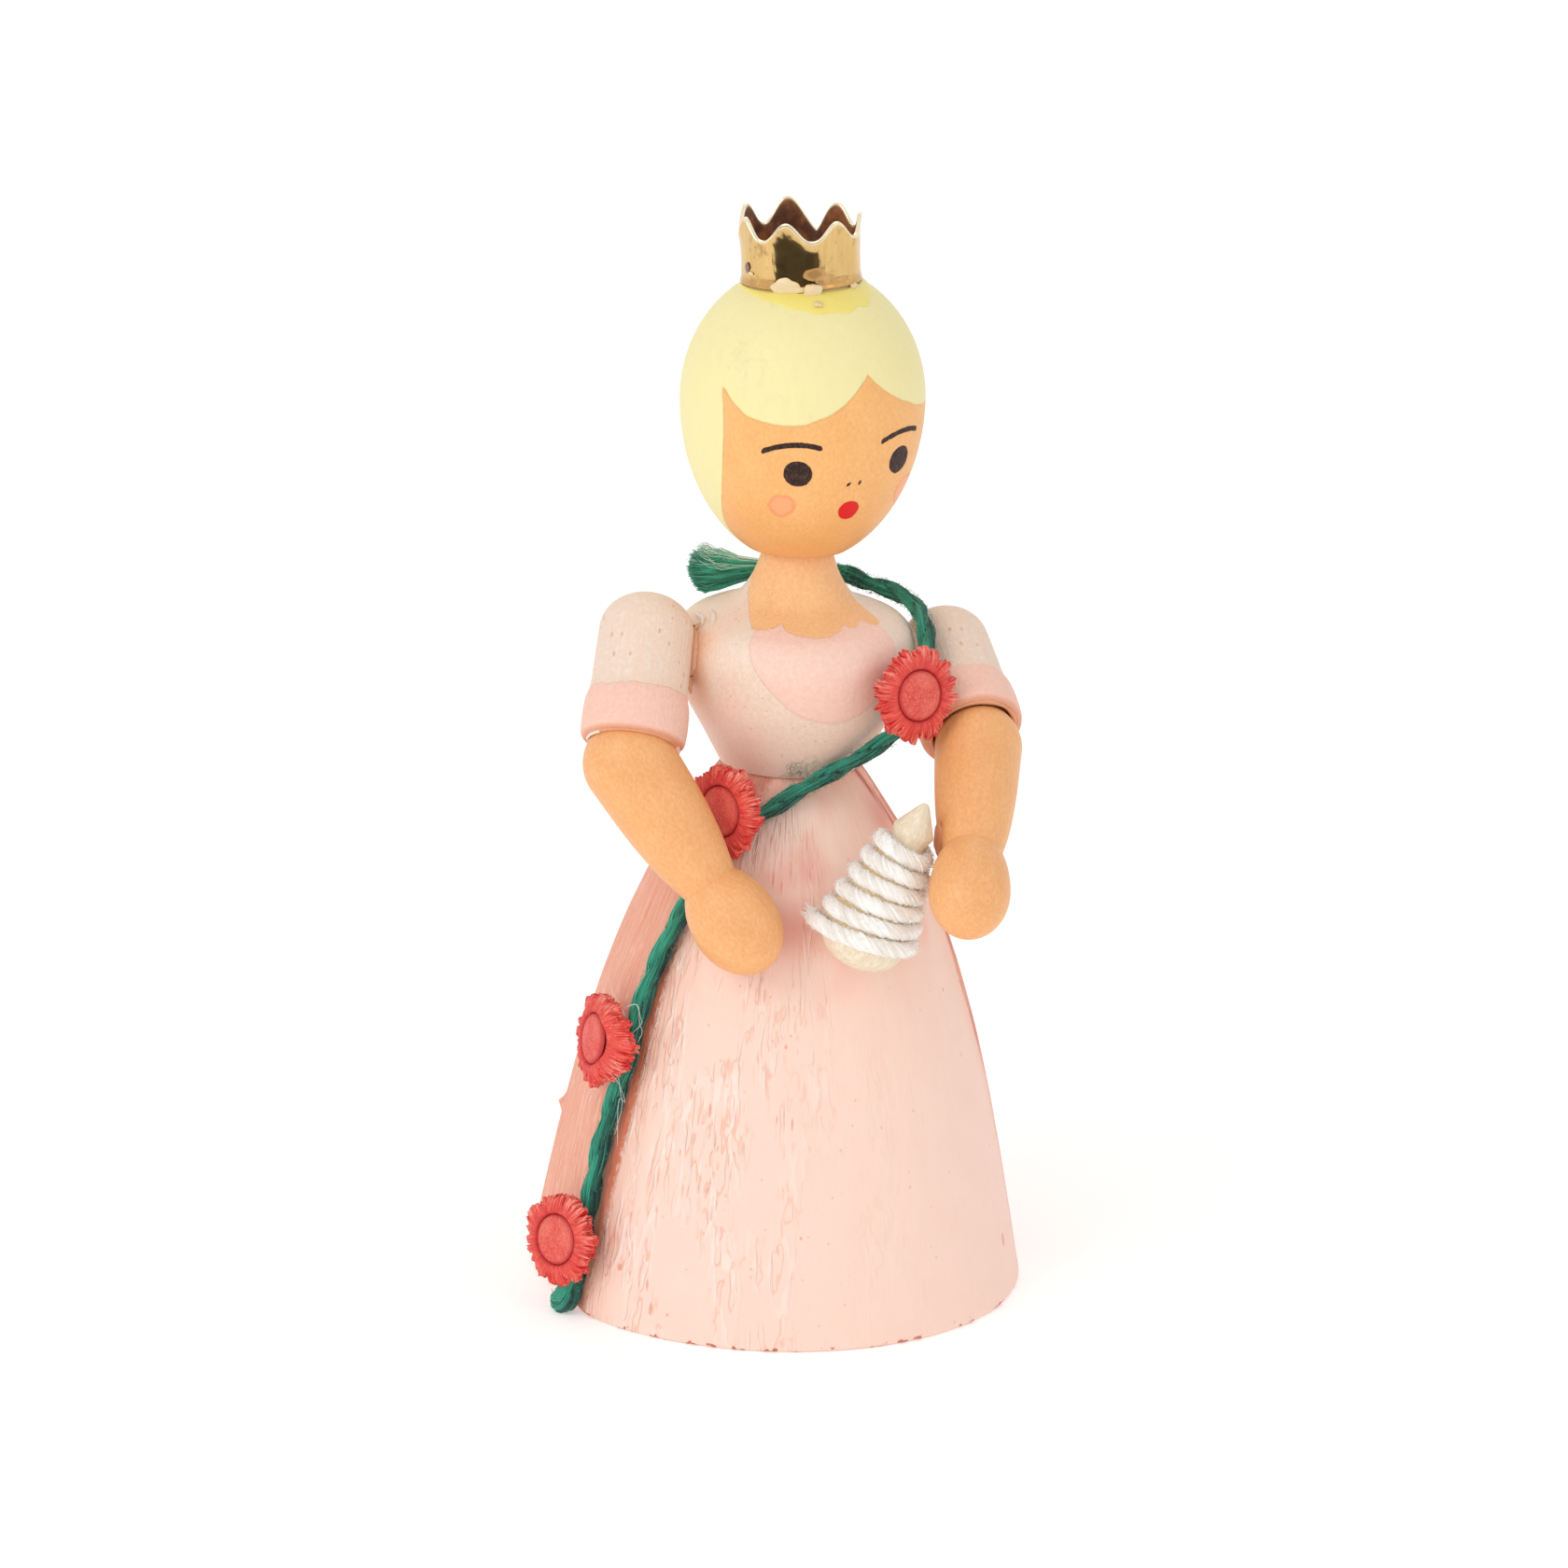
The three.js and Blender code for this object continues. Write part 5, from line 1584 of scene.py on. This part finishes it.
# White hairs caught on the yarn and the flower on the skirt: azimuth, height and distance from the skirt
CAUGHT_HAIRS = [
    [(-88, 23.3, 2.0), (-81, 22.8, 2.6), (-78, 22.1, 3.2), (-82, 20.6, 2.8)],
    [(-77, 22.8, 2.0), (-71, 23.3, 2.3), (-67, 22.8, 2.2), (-67, 21.8, 2.0), (-70, 20.8, 1.8)],
    [(-75, 18.1, 2.2), (-71, 18.3, 2.3), (-69, 17.6, 2.2), (-69, 16.1, 1.9), (-69, 14.1, 1.7)],
    [(-87, 14.8, 0.8), (-84, 16.1, 1.2), (-79, 17.1, 2.0)],
    [(-88, 24.1, 1.5), (-80, 23.8, 2.1), (-77, 22.8, 2.6), (-73, 21.8, 2.4)],
]


def caught_hairs():
    shake = random.Random(12)
    pieces = []
    for places in CAUGHT_HAIRS * 2:
        route = []
        for azimuth, height, clear in places:
            degrees = azimuth - 90 + shake.uniform(-1.8, 1.8)
            level = height + shake.uniform(-0.8, 0.8)
            route.append(around_axis(degrees, skirt_radius(level) + clear, level))
        pieces.append(fibres("caught_hairs", [route_through(route, 6)], 0.014, sides=1))
    return join("caught_hairs", pieces)


hair_white = thread_finish("white hairs", (238, 232, 226), (252, 250, 248), (255, 255, 255), 0.3)
dressed(caught_hairs(), hair_white, "green_yarn", sharp=0)

# Flowers: discs slit into petals, each with a round button set in its middle
FLOWER_RADIUS = 3.55
FLOWER_THICKNESS = 1.2
BUTTON_RADIUS = 1.85
PETALS = 30
ON_YARN = 2 * YARN_RADIUS + GLUE_GAP
FLOWERS = {
    "shoulder": {"middle": around_axis(-66.1, 11.38, TORSO_FOOT + 7.1), "facing": -82, "up": 8},
    "waist": {"middle": beside_skirt(-146.3, 0.96, ON_YARN + 1.7), "facing": -161, "up": 3},
    "skirt": {"middle": beside_skirt(-171.6, 0.521, ON_YARN + 0.7), "facing": -184, "up": 9},
    "hem": {"middle": beside_skirt(-170.3, 0.147, ON_YARN + 0.6), "facing": -160, "up": 8},
}
PETAL_FROM = 2.2
HUB_FOOT = -0.56
BUTTON_FLOOR = 0.12


def petal():
    """A block for one petal along +X, from the hub out to the rim, of unit width."""
    clear_selection()
    length = FLOWER_RADIUS - PETAL_FROM
    bpy.ops.mesh.primitive_cube_add(size=1)
    piece = bpy.context.object
    piece.scale = (length * MM, MM, FLOWER_THICKNESS * MM)
    piece.location = ((PETAL_FROM + length / 2) * MM, 0, 0)
    bpy.ops.object.transform_apply(location=True, rotation=True, scale=True)
    bpy.ops.object.mode_set(mode="EDIT")
    bpy.ops.mesh.select_all(action="SELECT")
    bpy.ops.mesh.subdivide(number_cuts=3)
    bpy.ops.object.mode_set(mode="OBJECT")
    return piece


def petal_disc(name, seed, fold):
    """A disc of petals round a solid hub. The fold bends it back on her front side."""
    shake = random.Random(seed)
    master = petal()
    template = points_of(master)
    widths = [shake.uniform(0.5, 1.55) for _ in range(PETALS)]
    whole = sum(widths)
    petals = []
    turn = 0.0
    for width in widths:
        span = FULL_TURN * width / whole
        middle = turn + span / 2
        turn += span
        copy = master.copy()
        copy.data = master.data.copy()
        bpy.context.scene.collection.objects.link(copy)
        reach = shake.uniform(-0.42, 0.04)
        tilt = shake.uniform(-0.2, 0.16)
        skew = shake.uniform(-0.09, 0.09)
        slit = shake.uniform(0.015, 0.08)
        taper = shake.uniform(0.05, 0.4)
        places = template.copy()
        for number, (x, y, z) in enumerate(template):
            share = (x - PETAL_FROM) / (FLOWER_RADIUS - PETAL_FROM)
            out = x + reach * share
            ragged = shake.uniform(-0.24, 0.08)
            if share > 0.95:
                out += ragged
            half = math.tan(span / 2) * out - slit * share
            across = y * 2 * half * (1 - taper * share ** 3)
            top = 0.5 - 0.26 * share ** 2 - 0.12 * abs(y * 2) ** 2 * share
            bottom = lerp(HUB_FOOT, -0.42, share ** 2)
            high = lerp(bottom, top, z / FLOWER_THICKNESS + 0.5)
            high += tilt * share + shake.uniform(-0.035, 0.035)
            turned_by = middle + skew * share ** 2
            places[number] = (
                out * math.cos(turned_by) - across * math.sin(turned_by),
                out * math.sin(turned_by) + across * math.cos(turned_by),
                high,
            )
        move_points(copy, places)
        petals.append(copy)
    bpy.data.objects.remove(master)
    hub = turned(
        name + "_hub",
        [
            (0, HUB_FOOT), (2.9, HUB_FOOT), (2.95, -0.42), (2.86, 0.1), (2.7, 0.38), (2.4, 0.5),
            (2.16, 0.55), (2.0, 0.52), (1.91, 0.44), (BUTTON_RADIUS + 0.02, 0.34),
            (BUTTON_RADIUS + 0.02, BUTTON_FLOOR), (0, BUTTON_FLOOR),
        ],
        64,
    )
    disc = join(name, [*petals, hub])
    places = points_of(disc)
    places[:, 2] -= fold * np.maximum(-places[:, 1] - FOLD_FROM, 0) ** 1.2
    move_points(disc, places)
    return disc


BUTTON_PROFILE = [
    (0, 0.2), (BUTTON_RADIUS - 0.06, 0.2), (BUTTON_RADIUS - 0.01, 0.26), (BUTTON_RADIUS - 0.02, 0.36),
    (1.79, 0.44), (1.7, 0.51), (1.5, 0.56), (1.1, 0.6), (0.6, 0.62), (0, 0.62),
]
FOLD_FROM = 1.2
FOLDS = {"shoulder": 0.0, "waist": 0.0, "skirt": 0.46, "hem": 0.0}
petal_red = petal_finish()
button_red = button_finish()
for seed, (name, flower) in enumerate(FLOWERS.items(), 21):
    towards = around_axis(flower["facing"], 1, math.tan(math.radians(flower["up"]))).normalized()
    stands = aim(towards, flower["middle"])
    petals_name = f"flower_{name}_petals"
    button_name = f"flower_{name}_button"
    disc = settle(petal_disc(petals_name, seed, FOLDS[name]), stands)
    dressed(disc, petal_red, "red_wood", petals_name, place=stands, sharp=30)
    button = settle(turned(button_name, BUTTON_PROFILE, 64), stands)
    dressed(button, button_red, "red_wood", button_name, place=stands)

# Dowels keep their own shape and get bare wood
NOT_WOUND = (500.0, 400.0)
dowel_wood = wood_finish("dowel wood", *NOT_WOUND)
for name in ARMS:
    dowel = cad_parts["shoulder_dowel_" + name]
    dowel.data.materials.clear()
    dowel.data.materials.append(dowel_wood)

# Glue: a yellow pool round the crown's foot, pale blobs in front of it, and beads where the arms are joined
glue_yellow = glue_finish("yellow glue", (238, 218, 96))
glue_pale = glue_finish("pale glue", (230, 204, 156))
glue_brown = glue_finish("brown stain", (112, 66, 42))
glue_amber = glue_finish("amber glue", (226, 176, 98), 0.1, 0.4)
glue_stained = glue_finish("stained glue", (222, 146, 102), 0.25)
glue_white = glue_finish("white glue", (250, 238, 226), 0.15, 0.85)
glue_cream = glue_finish("painted glue", (240, 214, 194), 0.4)
glue_shadow = glue_finish("seam glue in painted shade", (222, 160, 122), 0.45)
glue_clear = glue_finish("clear glue", (246, 232, 220), 0.12, 0.75)
glue_pink = glue_finish("pink glue", (246, 206, 190), 0.12, 0.9)


def glued(piece, glue, slot="bodice_paint"):
    dressed(piece, glue, slot, sharp=60)


POOL_RADIUS = 4.42


def crown_pool():
    """A thin bead that hugs the crown's foot, widest at the front and on her left."""
    clear_selection()
    bpy.ops.mesh.primitive_torus_add(
        major_segments=180, minor_segments=16, major_radius=POOL_RADIUS * MM, minor_radius=0.2 * MM
    )
    ring = bpy.context.object
    places = points_of(ring)
    for number, (x, y, z) in enumerate(places):
        angle = math.atan2(y, x)
        wide = math.exp(-hill(azimuth_of(x, y), 3, 56))
        ripple = noise.noise(Vector((3.5 * math.cos(angle), 3.5 * math.sin(angle), 1.0)))
        section = math.hypot(x, y) - POOL_RADIUS
        reach = section * (0.5 + 4.6 * wide * (0.85 + 0.3 * ripple))
        centre = 4.34 + 0.85 * wide * (1 + 0.3 * ripple)
        radius = centre + reach
        place = crown_place @ (Vector((radius * math.cos(angle), radius * math.sin(angle), 0)) * MM)
        flat = Vector((place.x, place.y)).length / MM
        rest = head_top(min(flat, HEAD_RADIUS - 0.5))
        places[number] = (place.x / MM, place.y / MM, rest + 0.02 + z * (0.45 + 0.2 * wide))
    move_points(ring, places)
    return ring


pool = crown_pool()
pool.name = "crown_glue"
glued(pool, glue_yellow, "hair_paint")

# Blobs at the crown's foot: azimuth, height above the foot, half width, half height and half thickness
CROWN_BLOBS = [
    (-41.5, 0.22, 0.98, 0.62, 0.15, glue_pale), (-16, -0.08, 0.66, 0.6, 0.3, glue_pale),
    (-28, 0.02, 0.36, 0.22, 0.14, glue_pale), (-13, 1.12, 0.86, 0.42, 0.1, glue_amber),
    (16, 0.55, 1.0, 0.2, 0.08, glue_amber), (-60, 0.35, 0.9, 0.3, 0.06, glue_amber),
    (31, -0.1, 0.4, 0.18, 0.2, glue_pale), (-88, 1.3, 0.3, 0.36, 0.05, glue_brown),
    (-14, -0.8, 0.36, 0.2, 0.5, glue_pale), (-82, 0.95, 0.3, 0.12, 0.05, glue_pale),
    (-1, 0.66, 0.82, 0.42, 0.12, glue_amber),
]
for number, (azimuth, height, half_width, half_height, thickness, glue) in enumerate(CROWN_BLOBS, 1):
    out = facing(azimuth)
    reach = CROWN_RADIUS + 0.04 + max(-height, 0) * 1.2
    at = crown_place @ ((out * reach + UP * height) * MM) / MM
    turn = crown_place.to_3x3()
    axes = [turn @ out, turn @ UP.cross(out), turn @ UP]
    sizes = (thickness, half_width, half_height)
    glued(lump(f"crown_glue_{number}", at, axes, sizes, number), glue, "hair_paint")


# Shoulder seams: glue that was squeezed out all round, and painted over
def sleeve_clearance(arm, place):
    """How far a place is outside the sleeve, in mm."""
    way = hanging(arm["side"], *arm["sleeve"])
    off = place - sleeve_at(arm, 0)
    distance = off.dot(way)
    reach = (off - way * distance).length
    if distance < SLEEVE_DOME:
        return math.hypot((SLEEVE_DOME - distance) * SLEEVE_RADIUS / SLEEVE_DOME, reach) - SLEEVE_RADIUS
    return reach - lerp(SLEEVE_RADIUS, CUFF_RADIUS, min((distance - SLEEVE_DOME) / 7, 1))


SEAM_STEP = 0.04
SEAM_CLEARANCE = 0.06
BODICE_RADIUS = 8.7


def seam_line(arm, count):
    """The line round a shoulder's joint, found outwards from where the sleeve is set in deepest."""
    middle = min(
        ((azimuth, height / 4) for azimuth in range(45, 136) for height in range(164, 208)),
        key=lambda at: sleeve_clearance(arm, torso_place(arm["side"] * at[0], at[1])),
    )
    line = []
    for number in range(count):
        angle = FULL_TURN * number / count
        step = 0.1
        while step < 6:
            azimuth = middle[0] + math.degrees(math.cos(angle) * step / BODICE_RADIUS)
            place = torso_place(arm["side"] * azimuth, middle[1] + math.sin(angle) * step)
            if sleeve_clearance(arm, place) > SEAM_CLEARANCE:
                break
            step += SEAM_STEP
        line.append(place)
    return line


def cuff_place(arm, degrees, distance, radius):
    way = hanging(arm["side"], *arm["sleeve"])
    turn = UP.rotation_difference(way)
    return sleeve_at(arm, distance) + turn @ around_axis(degrees, radius, 0)


for name, arm in ARMS.items():
    line = seam_line(arm, 96)
    radii = [0.19 + 0.1 * noise.noise(place * 0.9) for place in line]
    glued(bead("shoulder_glue_" + name, line, radii), glue_cream)
    cuff_line = [cuff_place(arm, 3 * number, SLEEVE_LENGTH - 0.06, 3.13) for number in range(120)]
    radii = [0.2 + 0.1 * noise.noise(place * 0.7) for place in cuff_line]
    glued(bead("elbow_glue_" + name, cuff_line, radii), glue_stained)


# The wedge between her right sleeve and the bodice is filled with glue below the seam, coloured as painted
# shade in the crevice
def wedge_fill(arm, top, foot, count):
    line = []
    radii = []
    for number in range(count):
        height = lerp(top, foot, number / (count - 1))
        around = [torso_place(arm["side"] * azimuth, height) for azimuth in range(50, 112)]
        clear = [sleeve_clearance(arm, place) for place in around]
        near = min(clear)
        first = next(n for n, apart in enumerate(clear) if apart < max(near + 0.05, 0.3))
        apart = max(clear[first], 0.0)
        line.append(around[first] + outward(around[first]) * (apart / 2))
        fade = min(number, count - 1 - number) / 8
        radii.append(min(apart / 2 + 0.12, 0.34) * min(0.2 + fade, 1))
    return line, radii


fill_line, fill_radii = wedge_fill(ARMS["right"], 50.2, 45.2, 28)
glued(bead("seam_fill", fill_line, fill_radii, closed=False), glue_shadow)

# Ridges of dried glue on her right shoulder: azimuth, height, distance from the bodice and radius
SHOULDER_GLUE = {
    "seam_glue_1": [
        (-106, 50.3, 0.4, 0.1), (-100, 50.3, 0.36, 0.18), (-93, 50.25, 0.26, 0.2), (-88, 50.0, 0.12, 0.1),
    ],
    "seam_glue_2": [
        (-101, 50.6, 0.2, 0.1), (-94, 50.5, 0.05, 0.2), (-86, 50.3, -0.05, 0.24), (-78, 49.8, -0.1, 0.08),
    ],
}
for name, places in SHOULDER_GLUE.items():
    ridge = []
    for azimuth, height, clear, _ in places:
        spot = torso_place(azimuth, height)
        ridge.append(spot + outward(spot) * clear)
    ridge = route_through(ridge, 6)
    radii = np.interp(np.linspace(0, 1, len(ridge)), np.linspace(0, 1, 4), [place[3] for place in places])
    glued(bead(name, ridge, list(radii), closed=False), glue_clear)

# Lumps of glue: where they sit, their half sizes in mm across, forwards and up, and their glue
right_arm = ARMS["right"]
wrist_place = elbow_of(left_arm) + hanging(1, *left_arm["forearm"]) * 8.9
GLUE_LUMPS = {
    "elbow_glue_bubble": (cuff_place(right_arm, 322, 11.45, 3.2), (0.26, 0.26, 0.42), glue_pink),
    "hand_glue": (wrist_place + Vector((-2.15, 1.0, 0.0)), (0.38, 0.5, 1.3), glue_stained),
}
SIDEWAYS = (Vector((1, 0, 0)), Vector((0, -1, 0)), UP)
for seed, (name, (place, sizes, glue)) in enumerate(GLUE_LUMPS.items(), 40):
    glued(lump(name, place, SIDEWAYS, sizes, seed), glue)
sliver = [cuff_place(right_arm, degrees, 11.42, 3.24) for degrees in range(92, 140, 6)]
glued(fibres("elbow_glue_sliver", [sliver], 0.12, sides=2), glue_white)


# Stage: a pale floor, soft lamps and the camera
def pale_floor():
    material, w = new_finish("pale floor")
    matte = w.put("BsdfDiffuse", {"Color": srgb(236, 234, 232)})
    glow = w.put("Emission", {"Color": (1, 1, 1, 1), "Strength": 0.34})
    both = w.put("AddShader", {0: matte.outputs[0], 1: glow.outputs[0]})
    w.put("OutputMaterial", {"Surface": both.outputs[0]})
    return material


clear_selection()
bpy.ops.mesh.primitive_plane_add(size=6, location=(0, 0, -0.01 * MM))
floor = bpy.context.object
floor.name = "floor"
bpy.ops.object.transform_apply(location=True)
floor.data.materials.append(pale_floor())

world = bpy.data.worlds.new("pale room")
bpy.context.scene.world = world
world.use_nodes = True
world.node_tree.nodes.clear()
w = Wiring(world.node_tree)
ROOM_LIGHT = 0.735
rays = w.put("LightPath").outputs
seen = w.plus(rays["Is Camera Ray"], rays["Is Glossy Ray"])
seen = w.maths("ADD", seen, rays["Is Transmission Ray"], clamp=True)
strength = w.times(seen, 1.0 - ROOM_LIGHT, plus=ROOM_LIGHT)
room = w.put("Background", {"Color": (1, 1, 1, 1), "Strength": strength})
w.put("OutputWorld", {"Surface": room.outputs[0]})
LAMPS_AIM_HEIGHT = 0.04


def soft_lamp(name, azimuth, elevation, distance, size, watts):
    """A square lamp that looks at her, with its distance and size in metres."""
    back = facing(azimuth, elevation)
    lamp = bpy.data.lights.new(name, "AREA")
    lamp.shape = "SQUARE"
    lamp.size = size
    lamp.energy = watts
    holder = bpy.data.objects.new(name, lamp)
    holder.location = back * distance + UP * LAMPS_AIM_HEIGHT
    holder.visible_camera = False
    holder.rotation_euler = back.to_track_quat("Z", "Y").to_euler()
    bpy.context.scene.collection.objects.link(holder)


soft_lamp("lamp_left", -72, 34, 0.6, 0.3, 0.74)
soft_lamp("lamp_front", -34, 12, 0.7, 0.4, 0.42)
soft_lamp("lamp_right", 40, 32, 0.7, 0.4, 0.25)
soft_lamp("lamp_back", 160, 50, 0.6, 0.4, 0.3)
DARK_CARD_AZIMUTH = -34.5


def dark_card():
    """The dark end of the room in front of her, which only the brass shows."""
    clear_selection()
    bpy.ops.mesh.primitive_plane_add(size=1)
    card = bpy.context.object
    card.name = "dark_card"
    out = facing(DARK_CARD_AZIMUTH)
    card.matrix_world = (
        Matrix.Translation(out * 0.17 + UP * 0.062)
        @ out.to_track_quat("Z", "Y").to_matrix().to_4x4()
        @ Matrix.Diagonal((0.34, 0.115, 1, 1))
    )
    bpy.ops.object.transform_apply(location=True, rotation=True, scale=True)
    black, w = new_finish("dark cloth")
    w.put("OutputMaterial", {"Surface": w.put("BsdfDiffuse", {"Color": srgb(34, 30, 26)}).outputs[0]})
    card.data.materials.append(black)
    for ray in ("camera", "diffuse", "transmission", "volume_scatter", "shadow"):
        setattr(card, "visible_" + ray, False)


dark_card()

# Camera: where the photograph was taken from
CAMERA_AZIMUTH = -27.0
CAMERA_ELEVATION = 16.8
CAMERA_ROLL = math.radians(1.9)
CAMERA_DISTANCE = 560.0
CAMERA_AIM_HEIGHT = 37.2
CAMERA_ASIDE = 0.4136
FRAME_PIXELS = 1680.0
FOCAL_PIXELS = 8260.0
SENSOR_WIDTH = 36.0
level_right = around_axis(CAMERA_AZIMUTH, 1, 0)
camera_back = facing(CAMERA_AZIMUTH, CAMERA_ELEVATION)
level_up = camera_back.cross(level_right)
camera_right = level_right * math.cos(CAMERA_ROLL) + level_up * math.sin(CAMERA_ROLL)
camera_up = level_up * math.cos(CAMERA_ROLL) - level_right * math.sin(CAMERA_ROLL)
camera_data = bpy.data.cameras.new("camera")
camera_data.sensor_width = SENSOR_WIDTH
camera_data.lens = FOCAL_PIXELS * SENSOR_WIDTH / FRAME_PIXELS
camera_data.clip_start = 0.01
camera = bpy.data.objects.new("camera", camera_data)
bpy.context.scene.collection.objects.link(camera)
turned_to = Matrix((camera_right, camera_up, camera_back)).transposed().to_4x4()
stands_at = UP * CAMERA_AIM_HEIGHT + camera_back * CAMERA_DISTANCE - camera_right * CAMERA_ASIDE
camera.matrix_world = Matrix.Translation(stands_at * MM) @ turned_to
bpy.context.scene.camera = camera
bpy.context.scene.view_settings.view_transform = "Standard"

clear_selection()
bpy.context.view_layer.update()
